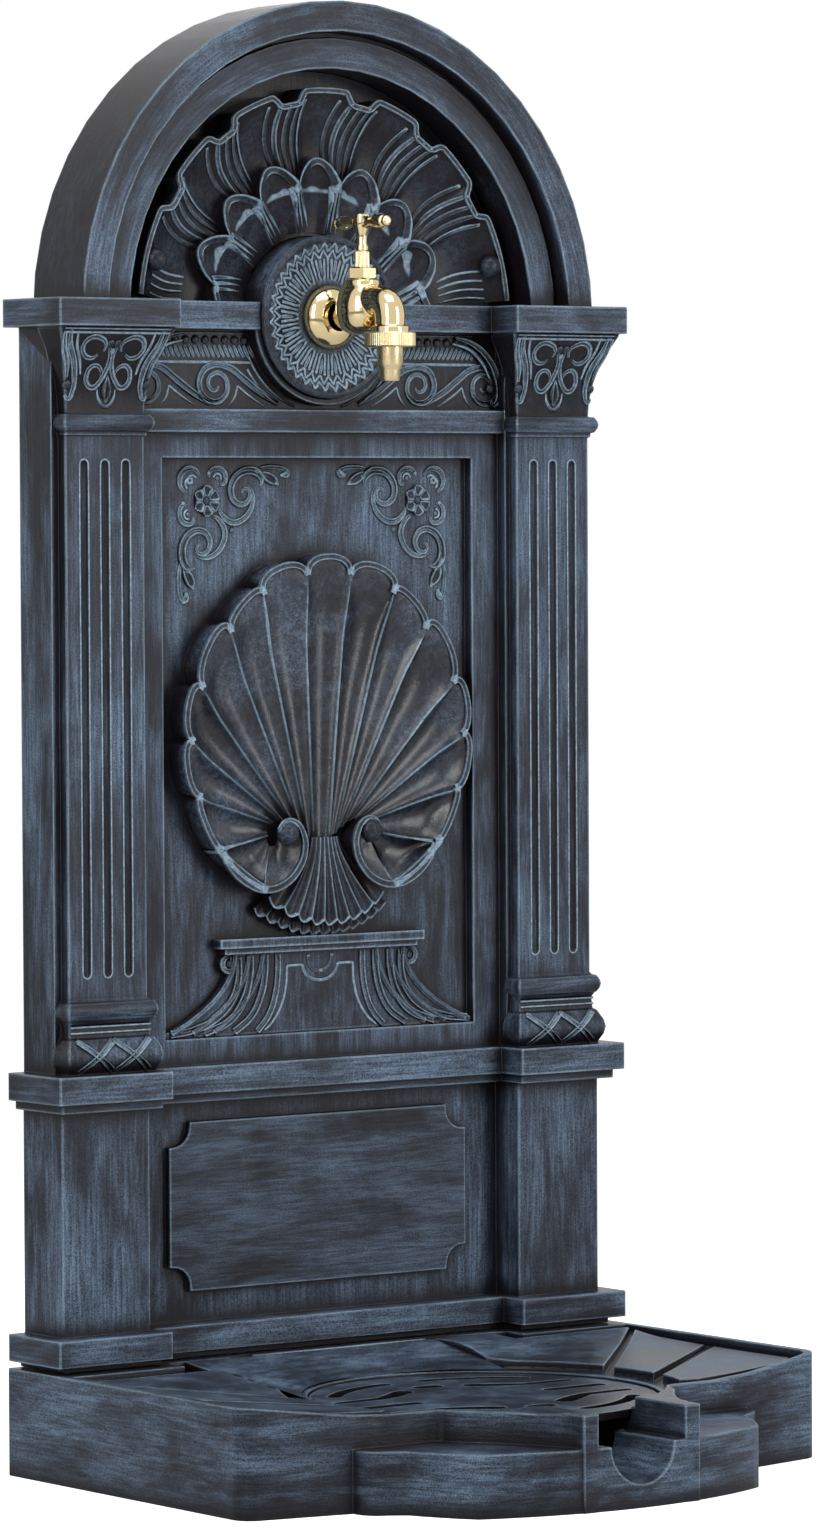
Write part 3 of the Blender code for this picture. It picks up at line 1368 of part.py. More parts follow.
def make_handle():
    """The spindle, the T handle with its turned grips, and the screw that holds them together."""
    spindle = turned(
        "spindle",
        [
            (0.0, 48.5),
            (1.2, 48.5),
            (1.2, 56.5),
            (SPINDLE_RADIUS, 56.5),
            (SPINDLE_RADIUS, 29.5),
            (3.5, 29.3),
            (3.5, 27.4),
            (SPINDLE_RADIUS, 27.4),
            (SPINDLE_RADIUS, 17.7),
            (0.0, 17.5),
        ],
        16,
        PARTS,
        SATIN_BRASS,
    )
    at_tap(spindle, SPINDLE_Y)
    handle = turned("tap_handle", grip_profile(), 12, PARTS, BRASS)
    at_tap(handle, SPINDLE_Y, HANDLE_HEIGHT)
    handle.rotation_euler = (math.pi / 2, 0.0, 0.0)
    hub = turned(
        "handle_hub",
        [
            (0.8, 66.1),
            (5.0, 66.1),
            (5.7, 63.9),
            (5.7, 58.5),
            (3.6, 53.5),
            (3.4, 47.0),
            (4.4, 45.0),
            (4.4, 42.8),
            (0.8, 42.8),
            (0.8, 66.1),
        ],
        16,
        CUTTERS,
    )
    hub.rotation_euler = (0.0, 0.0, 0.1)
    boolean(handle, hub, "UNION")
    for name, radius, low, high in (
        ("stem_socket", SPINDLE_RADIUS + 0.3, 40.5, 56.8),
        ("screw_hole", 1.5, 55.5, 64.0),
        ("screw_sink", 3.0, 63.1, 70.5),
    ):
        boolean(handle, cylinder(name, (0.0, 0.0, low), (0.0, 0.0, high), radius, sides=12))
    cutters_at_tap(handle, SPINDLE_Y)
    screw = turned(
        "handle_screw",
        [(0.0, 65.4), (2.0, 65.3), (2.6, 64.7), (2.6, 63.4), (0.95, 63.4), (0.95, 49.5), (0.0, 48.9)],
        10,
        PARTS,
        SATIN_BRASS,
    )
    at_tap(screw, SPINDLE_Y)


def grip_profile():
    """The turned grips of the T handle: a ball, a slim waist and a bulbed end on each side of the hub."""
    half = [(4.4, 0.0), (4.4, 4.0), (3.0, 7.0), (2.6, 9.0), (3.2, 12.0), (4.4, 16.0), (4.6, 20.0)]
    half += [(4.0, 23.5), (3.0, 25.0), (3.6, 26.0), (3.4, 28.0), (2.0, 29.0), (0.0, 29.0)]
    top = list(reversed(half))
    return top + [(radius, -height) for radius, height in half[1:]]


def make_hose_end():
    """The knurled union nut, its washer and the stepped hose tail."""
    nut = turned(
        "hose_union_nut",
        [
            (OUTLET_RADIUS + 0.4, -11.5),
            (15.9, -11.5),
            (16.75, -12.3),
            (16.75, -20.3),
            (15.9, -21.1),
            (9.0, -21.1),
            (9.0, -19.1),
            (OUTLET_RADIUS + 0.4, -19.1),
            (OUTLET_RADIUS + 0.4, -11.5),
        ],
        24,
        PARTS,
        SATIN_BRASS,
    )
    at_tap(nut, OUTLET_Y)
    tail = turned(
        "hose_tail",
        [
            (4.6, -17.5),
            (OUTLET_RADIUS, -17.5),
            (OUTLET_RADIUS, -18.8),
            (8.5, -18.8),
            (8.5, -32.5),
            (7.6, -34.5),
            (6.6, -36.5),
            (6.2, -42.6),
            (5.7, -43.1),
            (4.6, -43.1),
            (4.6, -17.5),
        ],
        16,
        PARTS,
        SATIN_BRASS,
    )
    at_tap(tail, OUTLET_Y)
    ring("hose_washer", -17.2, -15.8, OUTLET_RADIUS, 5.0, RUBBER, OUTLET_Y, 20)


def centre_the_footprint():
    """Carries every piece on one empty that puts the origin under the middle of the footprint."""
    middle = bpy.data.objects.new("footprint_middle", None)
    PARTS.objects.link(middle)
    middle.location = (0.0, LEDGE_FRONT / 2 * MM, 0.0)
    for item in list(PARTS.objects) + list(CUTTERS.objects):
        if item is not middle and item.parent is None:
            item.parent = middle


make_facade()
make_rear_cover()
make_tympanum_shell()
make_scallop_shell()
make_cartouche_bracket()
make_rosette()
make_basin()
make_grate()
make_tap()
make_fasteners()
centre_the_footprint()
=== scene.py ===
# %% [markdown]
# This lesson dresses a garden tap column: a tall arched wall of moulded plastic with shell ornaments,
# a brass tap on a round rosette, and a basin with a lift-out grate. The packed model is the fixed frame,
# and every piece made here rides on one of its bodies. Lengths are in metres and +Z is up.

# %% Load the frame
import json
import math

import bpy
from mathutils import Matrix, Vector


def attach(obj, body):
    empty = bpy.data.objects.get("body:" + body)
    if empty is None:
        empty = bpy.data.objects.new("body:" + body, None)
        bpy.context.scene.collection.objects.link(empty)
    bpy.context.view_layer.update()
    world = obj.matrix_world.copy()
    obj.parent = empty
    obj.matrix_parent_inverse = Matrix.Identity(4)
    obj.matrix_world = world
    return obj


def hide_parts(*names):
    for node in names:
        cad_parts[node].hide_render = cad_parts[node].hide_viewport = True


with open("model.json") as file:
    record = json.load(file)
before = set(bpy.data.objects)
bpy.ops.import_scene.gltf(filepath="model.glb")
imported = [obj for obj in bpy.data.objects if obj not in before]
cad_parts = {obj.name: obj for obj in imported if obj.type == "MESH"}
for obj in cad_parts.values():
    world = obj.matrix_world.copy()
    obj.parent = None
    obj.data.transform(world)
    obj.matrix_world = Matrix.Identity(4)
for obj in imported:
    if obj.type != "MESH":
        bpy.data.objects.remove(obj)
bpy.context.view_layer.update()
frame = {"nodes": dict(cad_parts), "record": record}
MM = 0.001
BACK = 0.184
print("frame loaded:", len(frame["nodes"]), "nodes")


# %% [markdown]
# The photograph was taken from the front left, a little above the middle of the column, with a long lens
# that keeps its upright lines parallel. The camera's place and turn were solved from the corners of the
# mouldings, so the same lens goes here, and the picture needs no shift.

# %% Camera
CAMERA_PLACE = Vector((-2.63146, -3.6526 + BACK, 0.61894))
YAW, PITCH, ROLL = (math.radians(angle) for angle in (36.779, 2.134, -0.277))
FOCAL_PIXELS, PICTURE_HEIGHT = 6780.9, 1536


def aim_camera():
    """A camera that looks along the solved direction, with its roll."""
    forward = Vector((math.sin(YAW) * math.cos(PITCH), math.cos(YAW) * math.cos(PITCH), -math.sin(PITCH)))
    right = Vector((math.cos(YAW), -math.sin(YAW), 0.0))
    up = right.cross(forward)
    leaning_right = right * math.cos(ROLL) + up * math.sin(ROLL)
    leaning_up = up * math.cos(ROLL) - right * math.sin(ROLL)
    turn = Matrix((leaning_right, leaning_up, -forward)).transposed()
    bpy.ops.object.camera_add(location=CAMERA_PLACE)
    camera = bpy.context.object
    camera.name = "camera"
    camera.rotation_euler = turn.to_euler()
    camera.data.sensor_width = 36.0
    camera.data.lens = FOCAL_PIXELS / PICTURE_HEIGHT * camera.data.sensor_width
    bpy.context.scene.camera = camera
    bpy.context.scene.view_settings.view_transform = "Standard"
    return camera


camera = aim_camera()
print("lens", round(camera.data.lens, 2), "mm")


# %% [markdown]
# The studio is a pale floor with a white surrounding. The floor keeps the soft contact shadow, and metal
# mirrors the same white as the camera sees. A white sheet could be modelled behind the column, but the
# world's own colour does the same with nothing to clip. Large soft lamps stand in front on both sides and
# above.

# %% Floor, surroundings and lamps
SURROUNDING_GREY = 0.26
FLOOR_GLOW = 0.77
FLOOR_WHITE, FLOOR_SIZE = (0.93, 0.93, 0.93, 1.0), 14.0
WHITE = (1.0, 1.0, 1.0, 1.0)
LAMPS = {
    "left_lamp": ((-2.6, -1.6, 1.7), (0.8, 2.2), 52.0),
    "right_lamp": ((1.5, -2.8, 1.2), (0.9, 2.2), 40.0),
    "top_lamp": ((-0.2, -0.9, 3.0), (2.0, 1.2), 34.0),
}
LAMP_TARGET = Vector((0.0, 0.1, 0.5))


def maths(tree, operation, first, second):
    """One maths node fed by an output and by another output or a number."""
    made = tree.nodes.new("ShaderNodeMath")
    made.operation = operation
    tree.links.new(first, made.inputs[0])
    if isinstance(second, float):
        made.inputs[1].default_value = second
    else:
        tree.links.new(second, made.inputs[1])
    return made.outputs[0]


def white_surroundings():
    """White where the camera or a mirror looks past the object, and a plain soft grey for its light."""
    world = bpy.data.worlds.new("studio")
    bpy.context.scene.world = world
    world.use_nodes = True
    tree = world.node_tree
    ray = tree.nodes.new("ShaderNodeLightPath").outputs
    mirrored_ray = maths(tree, "MAXIMUM", ray["Is Glossy Ray"], ray["Is Transmission Ray"])
    strength = tree.nodes.new("ShaderNodeMapRange")
    strength.inputs["To Min"].default_value = SURROUNDING_GREY
    strength.inputs["To Max"].default_value = 1.0
    tree.links.new(maths(tree, "MAXIMUM", ray["Is Camera Ray"], mirrored_ray), strength.inputs["Value"])
    back = tree.nodes["Background"]
    tree.links.new(strength.outputs[0], back.inputs["Strength"])
    back.inputs["Color"].default_value = WHITE


def pale_floor():
    """A wide floor under the column."""
    bpy.ops.mesh.primitive_plane_add(size=FLOOR_SIZE, location=(0.0, 0.0, 0.0))
    floor = bpy.context.object
    floor.name = "floor"
    paint = bpy.data.materials.new("floor_white")
    paint.use_nodes = True
    tree = paint.node_tree
    shader = tree.nodes["Principled BSDF"]
    shader.inputs["Base Color"].default_value = FLOOR_WHITE
    shader.inputs["Roughness"].default_value = 0.9
    shader.inputs["Specular IOR Level"].default_value = 0.0
    shader.inputs["Emission Color"].default_value = WHITE
    seen = tree.nodes.new("ShaderNodeLightPath").outputs["Is Camera Ray"]
    tree.links.new(maths(tree, "MULTIPLY", seen, FLOOR_GLOW), shader.inputs["Emission Strength"])
    floor.data.materials.append(paint)


def soft_lamp(name, place, size, power):
    bpy.ops.object.light_add(type="AREA", location=place)
    lamp = bpy.context.object
    lamp.name = name
    lamp.data.shape = "RECTANGLE"
    lamp.data.size, lamp.data.size_y = size
    lamp.data.energy = power
    lamp.rotation_euler = (LAMP_TARGET - Vector(place)).to_track_quat("-Z", "Y").to_euler()


white_surroundings()
pale_floor()
for name, (place, size, power) in LAMPS.items():
    soft_lamp(name, place, size, power)
print("lamps:", list(LAMPS))


# %% [markdown]
# Every finish is built from the same few kinds of node. They could be set by hand in the shader editor; a
# small helper that adds and joins them keeps each finish short enough to read.

# %% A recipe of nodes
class Recipe:
    """Adds nodes to one material and joins them."""

    def __init__(self, name):
        self.material = bpy.data.materials.new(name)
        self.material.use_nodes = True
        self.tree = self.material.node_tree
        self.shader = self.tree.nodes["Principled BSDF"]
        self.place = self.node("ShaderNodeTexCoord").outputs["Object"]

    def node(self, kind, **settings):
        made = self.tree.nodes.new(kind)
        for key, value in settings.items():
            setattr(made, key, value)
        return made

    def feed(self, value, socket):
        """Gives a socket another node's output or a plain value."""
        if isinstance(value, bpy.types.NodeSocket):
            self.tree.links.new(value, socket)
        else:
            socket.default_value = value

    def noise(self, stretch, detail=3.0, roughness=0.55, distortion=0.0, turn=(0.0, 0.0, 0.0)):
        """Noise with features about one over the stretch wide along each axis, in metres."""
        mapping = self.node("ShaderNodeMapping")
        made = self.node("ShaderNodeTexNoise")
        for socket, value in (("Rotation", turn), ("Scale", stretch), ("Vector", self.place)):
            self.feed(value, mapping.inputs[socket])
        for socket, value in (("Scale", 1.0), ("Detail", detail), ("Roughness", roughness),
                              ("Distortion", distortion), ("Vector", mapping.outputs[0])):
            self.feed(value, made.inputs[socket])
        return made.outputs[0]

    def math(self, operation, *values, clamp=False):
        made = self.node("ShaderNodeMath", operation=operation, use_clamp=clamp)
        for value, socket in zip(values, made.inputs):
            self.feed(value, socket)
        return made.outputs[0]

    def window(self, value, low, high, to_low=0.0, to_high=1.0):
        """Turns the span from low to high softly into the span from to_low to to_high."""
        made = self.node("ShaderNodeMapRange", interpolation_type="SMOOTHSTEP")
        for number, socket in zip((value, low, high, to_low, to_high), made.inputs):
            self.feed(number, socket)
        return made.outputs[0]

    def mix(self, share, first, second):
        made = self.node("ShaderNodeMix", data_type="RGBA")
        for value, socket in ((share, "Factor"), (first, 6), (second, 7)):
            self.feed(value, made.inputs[socket])
        return made.outputs[2]

    def nearness(self, distance, inside=False):
        """How open the surface is: 1 on open faces, less near walls, or from inside less near edges."""
        made = self.node("ShaderNodeAmbientOcclusion", samples=6, inside=inside, only_local=inside)
        made.inputs["Distance"].default_value = distance
        return made.outputs["AO"]

    def bump(self, height, distance, strength):
        made = self.node("ShaderNodeBump")
        for value, socket in ((distance, "Distance"), (strength, "Strength"), (height, "Height")):
            self.feed(value, made.inputs[socket])
        self.feed(made.outputs[0], self.shader.inputs["Normal"])


print("recipe steps:", [step for step in vars(Recipe) if not step.startswith("_")])


# %% [markdown]
# The wall is black moulded plastic. A steel-blue paint was dragged over it with a nearly dry brush, so it
# holds on flat faces and edges, breaks up into strokes and specks, and misses the recesses. A painted picture
# could be wrapped round the object, but noise patterns follow every face without seams: wide patches, strokes
# stretched along the brush's way, fine specks, a mask of nearby walls that keeps the recesses black, and one
# of edges that takes more paint.

# %% Dry-brushed paint
BLACK_PLASTIC = (0.0075, 0.0060, 0.0085, 1.0)
DEEP_BLACK = (0.004, 0.0035, 0.0045, 1.0)
BLUE_PAINT = (0.158, 0.230, 0.335, 1.0)
WORN_EDGE = (0.320, 0.445, 0.560, 1.0)
ARCH_MIDDLE, MEAN_ARCH_REACH = 0.749, 0.19


def round_the_arch(recipe):
    """Turns the place into distance from the arch's centre, depth and way round it."""
    split = recipe.node("ShaderNodeSeparateXYZ")
    recipe.feed(recipe.place, split.inputs[0])
    across, depth, height = split.outputs
    up = recipe.math("SUBTRACT", height, ARCH_MIDDLE)
    square = recipe.math("ADD", recipe.math("MULTIPLY", across, across), recipe.math("MULTIPLY", up, up))
    way_round = recipe.math("MULTIPLY", recipe.math("ARCTAN2", across, up), MEAN_ARCH_REACH)
    bent = recipe.node("ShaderNodeCombineXYZ")
    for value, socket in zip((recipe.math("SQRT", square), depth, way_round), bent.inputs):
        recipe.feed(value, socket)
    recipe.place = bent.outputs[0]


def brushed_paint(name, stroke, cover=0.5, turn=(0.0, 0.0, 0.0), wear=0.95, reach=0.0019, shine=0.16,
                  low=0.30, arched=False):
    """Dry-brushed paint: a haze in wide patches, broken up by strokes that follow the brush and by specks."""
    recipe = Recipe(name)
    if arched:
        round_the_arch(recipe)
    patches = recipe.window(recipe.noise((7.0, 7.0, 7.0), 4.0, 0.62, 0.8), 0.26, 0.78)
    wide_stroke = tuple(9.0 + 0.085 * value for value in stroke)
    clouds = recipe.window(recipe.noise(wide_stroke, 5.0, 0.68, 0.5, turn), 0.32, 0.70)
    strokes = recipe.window(recipe.noise(stroke, 5.0, 0.66, 0.1, turn), 0.40, 0.64)
    specks = recipe.window(recipe.noise((1100.0, 1100.0, 1100.0), 2.0), 0.40, 0.62)
    haze = recipe.math("ADD", recipe.math("MULTIPLY", patches, 0.55), recipe.math("MULTIPLY", clouds, 0.45))
    haze = recipe.window(haze, 0.12, 0.95, cover * 0.14, min(1.0, cover * 1.9))
    broken = recipe.math("ADD", recipe.math("MULTIPLY", strokes, 0.50), recipe.math("MULTIPLY", specks, 0.50))
    painted = recipe.math("MULTIPLY", haze, recipe.math("ADD", broken, 0.14), clamp=True)
    open_face = recipe.window(recipe.nearness(0.016), 0.62, 0.97)
    painted = recipe.math("MULTIPLY", painted, open_face)
    edge = recipe.window(recipe.nearness(reach, True), 0.58, 0.95, 1.0, 0.0)
    worn = recipe.math("MULTIPLY", edge, recipe.math("ADD", recipe.math("MULTIPLY", broken, 0.6), 0.4))
    worn = recipe.math("MULTIPLY", recipe.math("MULTIPLY", worn, wear), recipe.window(open_face, 0.0, 0.6))
    colour = recipe.mix(painted, BLACK_PLASTIC, BLUE_PAINT)
    recipe.feed(recipe.mix(worn, colour, WORN_EDGE), recipe.shader.inputs["Base Color"])
    recipe.feed(recipe.window(painted, 0.0, 0.8, low, 0.52), recipe.shader.inputs["Roughness"])
    recipe.shader.inputs["Specular IOR Level"].default_value = shine
    grain = recipe.math("ADD", recipe.math("MULTIPLY", specks, 0.4), recipe.math("MULTIPLY", strokes, 0.5))
    recipe.bump(grain, 0.0004, 0.25)
    return recipe.material


def bare_plastic():
    """The moulding's own black where no brush reaches, dull and slightly uneven."""
    recipe = Recipe("bare_plastic")
    tone = recipe.noise((240.0, 240.0, 240.0), 3.0)
    recipe.feed(recipe.mix(tone, DEEP_BLACK, BLACK_PLASTIC), recipe.shader.inputs["Base Color"])
    recipe.feed(recipe.window(tone, 0.2, 0.8, 0.38, 0.55), recipe.shader.inputs["Roughness"])
    recipe.shader.inputs["Specular IOR Level"].default_value = 0.10
    recipe.bump(tone, 0.0002, 0.2)
    return recipe.material


print("paint over black:", BLUE_PAINT[:3], "on", BLACK_PLASTIC[:3])


# %% [markdown]
# The brush went up and down on the wall and the pilasters, across on the mouldings, aslant on the plaque and
# the basin, round on the arch, and only skimmed the carved work, which keeps more gloss. One finish for all
# of it would be quicker, but the strokes' way is what makes the plain faces look hand painted.

# %% Paints for each surface
bare_black = bare_plastic()
upright_paint = brushed_paint("upright_strokes", (620.0, 620.0, 30.0))
level_paint = brushed_paint("level_strokes", (30.0, 30.0, 620.0), 0.62)
slanting_paint = brushed_paint("slanting_strokes", (34.0, 34.0, 620.0), turn=(0.0, 0.22, 0.0))
plaque_paint = brushed_paint("plaque_strokes", (40.0, 40.0, 620.0), 0.30, (0.0, 0.35, 0.0))
pier_paint = brushed_paint("pier_strokes", (560.0, 560.0, 26.0), 1.0)
arched_paint = brushed_paint("arched_strokes", (620.0, 620.0, 26.0), 0.74, arched=True)
sparing_paint = brushed_paint("sparing_strokes", (300.0, 300.0, 60.0), 0.08, wear=0.8, shine=0.14, low=0.20)
carved_paint = brushed_paint("carved_strokes", (300.0,) * 3, 0.17, wear=1.0, reach=0.0016, shine=0.14,
                             low=0.20)
dished_paint = brushed_paint("dished_strokes", (260.0,) * 3, 0.32, wear=0.9, reach=0.0018, shine=0.42,
                             low=0.17)
shell_paint = brushed_paint("arch_shell_strokes", (260.0,) * 3, 0.12, wear=1.0, reach=0.0020, shine=0.15,
                            low=0.17)
print("paints:", [paint.name for paint in bpy.data.materials if paint.name.endswith("strokes")])


# %% [markdown]
# The tap is brass: polished on the cast body, the bonnet and the T handle, and left satin from the lathe
# on the union nut and the hose tail. A metal needs no paint under it, only its own colour, slightly uneven,
# and a fine grain in its shine. Rubber and zinc-plated steel only show from behind or below.

# %% Brass, rubber and steel
def plain_metal(name, colour, roughness, grain):
    recipe = Recipe(name)
    recipe.shader.inputs["Metallic"].default_value = 1.0
    darker = tuple(value * 0.86 for value in colour) + (1.0,)
    tone = recipe.mix(recipe.noise((60.0, 60.0, 60.0)), darker, colour + (1.0,))
    fine = recipe.noise((900.0, 900.0, 900.0), 2.0)
    recipe.feed(tone, recipe.shader.inputs["Base Color"])
    gloss = recipe.window(fine, 0.2, 0.8, roughness * 0.8, roughness * 1.25)
    recipe.feed(gloss, recipe.shader.inputs["Roughness"])
    recipe.bump(fine, 0.0001, grain)
    return recipe.material


def black_rubber():
    recipe = Recipe("black_rubber_finish")
    tone = recipe.noise((300.0, 300.0, 300.0))
    rubber = recipe.mix(tone, (0.012, 0.012, 0.012, 1.0), (0.03, 0.03, 0.03, 1.0))
    recipe.feed(rubber, recipe.shader.inputs["Base Color"])
    recipe.shader.inputs["Roughness"].default_value = 0.7
    recipe.bump(tone, 0.0002, 0.2)
    return recipe.material


FINISHES = {
    "painted_plastic": upright_paint,
    "polished_brass": plain_metal("polished_brass_finish", (0.76, 0.60, 0.34), 0.11, 0.06),
    "satin_brass": plain_metal("satin_brass_finish", (0.72, 0.58, 0.34), 0.30, 0.2),
    "black_rubber": black_rubber(),
    "zinc_plated_steel": plain_metal("zinc_plated_steel_finish", (0.62, 0.63, 0.64), 0.35, 0.2),
}
SLOT_OF = {entry["node"]: entry["material_slot"] for entry in frame["record"]["subparts"]}
for name, node in frame["nodes"].items():
    node.data.materials.clear()
    node.data.materials.append(FINISHES[SLOT_OF[name]])
print("finishes on the CAD nodes:", len(SLOT_OF))


# %% [markdown]
# Operators act on all that is selected, so each step starts by picking exactly one piece. These short helpers
# put pieces into the scene, pick, join, smooth and paint them.

# %% Picking, joining and finishing
def placed(name, data):
    """Puts a mesh or curve into the scene."""
    piece = bpy.data.objects.new(name, data)
    bpy.context.scene.collection.objects.link(piece)
    return piece


def pick(*pieces):
    bpy.ops.object.select_all(action="DESELECT")
    for piece in pieces:
        piece.select_set(True)
    bpy.context.view_layer.objects.active = pieces[0]


def joined(pieces, name):
    pick(*pieces)
    if len(pieces) > 1:
        bpy.ops.object.join()
    piece = bpy.context.object
    piece.name = name
    piece.data.name = name
    return piece


def apply_modifier(piece, kind, **settings):
    pick(piece)
    modifier = piece.modifiers.new(kind.lower(), kind)
    for key, value in settings.items():
        setattr(modifier, key, value)
    bpy.ops.object.modifier_apply(modifier=modifier.name)


def in_edit_mode(piece, *steps):
    """Runs mesh operators on the whole of a piece, each given with its settings."""
    pick(piece)
    bpy.ops.object.mode_set(mode="EDIT")
    bpy.ops.mesh.select_all(action="SELECT")
    for operator, settings in steps:
        operator(**settings)
    bpy.ops.object.mode_set(mode="OBJECT")


def smooth(piece, angle):
    pick(piece)
    bpy.ops.object.shade_smooth_by_angle(angle=math.radians(angle))


def paint_with(piece, *paints):
    piece.data.materials.clear()
    for paint in paints:
        piece.data.materials.append(paint)


WELD = (bpy.ops.mesh.remove_doubles, {"threshold": 0.02 * MM})
FACE_OUT = (bpy.ops.mesh.normals_make_consistent, {"inside": False})
print("points closer than", WELD[1]["threshold"] / MM, "mm are merged")


# %% [markdown]
# Moulded plastic has no razor edges: every corner is rounded by about half a millimetre, and that is where
# the brush leaves its light line. The wall, basin and grate could be modelled anew, but copies of the frame's
# own nodes keep every size: their loose triangles are merged into whole faces, a narrow bevel rounds what is
# sharp, and weighted normals keep the large faces flat between the rounded edges.

# %% Rounded mouldings
def rounded_copy(node_name, width):
    """A copy of a CAD node with merged faces and rounded edges, which stands for the node."""
    piece = placed("moulded_" + node_name, frame["nodes"][node_name].data.copy())
    in_edit_mode(
        piece, WELD, (bpy.ops.mesh.dissolve_limited, {"angle_limit": math.radians(0.6)}),
        (bpy.ops.mesh.quads_convert_to_tris, {"quad_method": "BEAUTY", "ngon_method": "BEAUTY"}),
        (bpy.ops.mesh.tris_convert_to_quads,
         {"face_threshold": math.radians(1.0), "shape_threshold": math.radians(60.0)}),
    )
    apply_modifier(piece, "BEVEL", width=width * MM, segments=2, limit_method="ANGLE",
                   angle_limit=math.radians(32.0), use_clamp_overlap=False, loop_slide=False)
    smooth(piece, 38.0)
    apply_modifier(piece, "WEIGHTED_NORMAL", weight=90, keep_sharp=True)
    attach(piece, "grate" if node_name == "grate" else "column")
    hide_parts(node_name)
    print(piece.name, "faces:", len(piece.data.polygons))
    return piece


wall = rounded_copy("facade", 0.6)
wall.name = "moulded_wall"
basin = rounded_copy("basin", 0.8)
grate = rounded_copy("grate", 0.5)


# %% [markdown]
# One moulding takes several paints. Each face of the wall is given its paint by its height, its distance from
# the middle and the way it looks, which is quicker and surer than picking faces by hand. The sump and the
# grate's slots stay bare.

# %% Paint by place
MOULDING_BANDS = [(0.069, 0.093), (0.236, 0.262), (0.673, 0.689), (0.740, 0.760)]
PLAQUE_BAND, PLAQUE_HALF = (0.108, 0.228), 0.1225
FRIEZE_BAND, FRIEZE_HALF = (0.690, 0.7395), 0.226
PIER_EDGE, TORUS_BAND, PIER_BANDS = 0.1475, (0.293, 0.307), [(0.093, 0.236), (0.307, 0.673)]
ARCH_FOOT, RECESS_REACH, RECESS_FRONT, CROWN_REACH = 0.760, 0.1865, BACK - 0.041, 0.200
WALL_FRONT = BACK - 0.020
GRATE_LINE, BARE_REACH, SUMP_TOP, SLOTS_TOP = BACK - 0.203, 0.1125, 0.054, 0.0515
WALL_PAINTS = (upright_paint, level_paint, plaque_paint, arched_paint, sparing_paint, pier_paint)


def within(value, *bands):
    return any(low <= value <= high for low, high in bands)


def wall_paint(across, height, depth, normal):
    if within(height, PLAQUE_BAND) and across < PLAQUE_HALF and depth < WALL_FRONT:
        return plaque_paint
    if height > ARCH_FOOT:
        reach = math.hypot(across, height - ARCH_MIDDLE)
        in_recess = reach < RECESS_REACH and depth > RECESS_FRONT
        on_crown = reach > CROWN_REACH and abs(normal.y) < 0.3
        return sparing_paint if in_recess or on_crown else arched_paint
    if within(height, FRIEZE_BAND) and across < FRIEZE_HALF and depth < WALL_FRONT:
        return sparing_paint
    if across > PIER_EDGE and normal.y < -0.7:
        if within(height, TORUS_BAND):
            return level_paint
        if within(height, *PIER_BANDS):
            return pier_paint
    return level_paint if within(height, *MOULDING_BANDS) else upright_paint


paint_with(wall, *WALL_PAINTS)
for face in wall.data.polygons:
    place = face.center
    face.material_index = WALL_PAINTS.index(wall_paint(abs(place.x), place.z, place.y, face.normal))
for piece, bare_below in ((basin, SUMP_TOP), (grate, SLOTS_TOP)):
    paint_with(piece, slanting_paint, bare_black)
    for face in piece.data.polygons:
        place = face.center
        near_grate = math.hypot(place.x, place.y - GRATE_LINE) < BARE_REACH
        face.material_index = int(near_grate and (place.z < bare_below or abs(face.normal.z) < 0.7))
print("wall paints:", len(WALL_PAINTS))


# %% [markdown]
# The carved work is drawn as strokes. Each stroke is a smooth line on the face it decorates, with a half
# width at every point, swept with one of a few cross-sections: a plain cord, a twin cord with a groove, a
# veined leaf, a dished petal and a rounded rim. Sculpting would give the same forms, but not twice the same.
# Places are in millimetres, across from the middle and up from the ground.

# %% Cross-sections and strokes
SUNK = -0.35
SECTIONS = {
    "cord": [(math.cos(math.radians(a)), 0.85 * math.sin(math.radians(a))) for a in range(0, 181, 22)],
    "twin": [(1.0, 0.0), (0.92, 0.42), (0.70, 0.62), (0.45, 0.46), (0.20, 0.14), (0.0, 0.06)],
    "leaf": [(1.0, 0.0), (0.86, 0.34), (0.50, 0.56), (0.18, 0.42), (0.0, 0.24)],
    "petal": [(1.0, 0.0), (0.95, 0.50), (0.78, 0.66), (0.50, 0.46), (0.20, 0.28), (0.0, 0.22)],
    "rim": [(1.0, 0.0), (0.97, 0.50), (0.80, 0.78), (0.45, 0.72), (0.0, 0.64)],
}
for kind, outline in SECTIONS.items():
    if kind != "cord":
        outline += [(-across, height) for across, height in reversed(outline[:-1])]
    outline += [(-0.9, SUNK), (0.9, SUNK)]


def section_curve(kind):
    """The closed cross-section of a stroke with a half width of one millimetre."""
    data = bpy.data.curves.new("section_" + kind, "CURVE")
    data.dimensions = "2D"
    line = data.splines.new("POLY")
    line.points.add(len(SECTIONS[kind]) - 1)
    for point, (across, height) in zip(line.points, SECTIONS[kind]):
        point.co = (across * MM, height * MM, 0.0, 1.0)
    line.use_cyclic_u = True
    return placed(data.name, data)


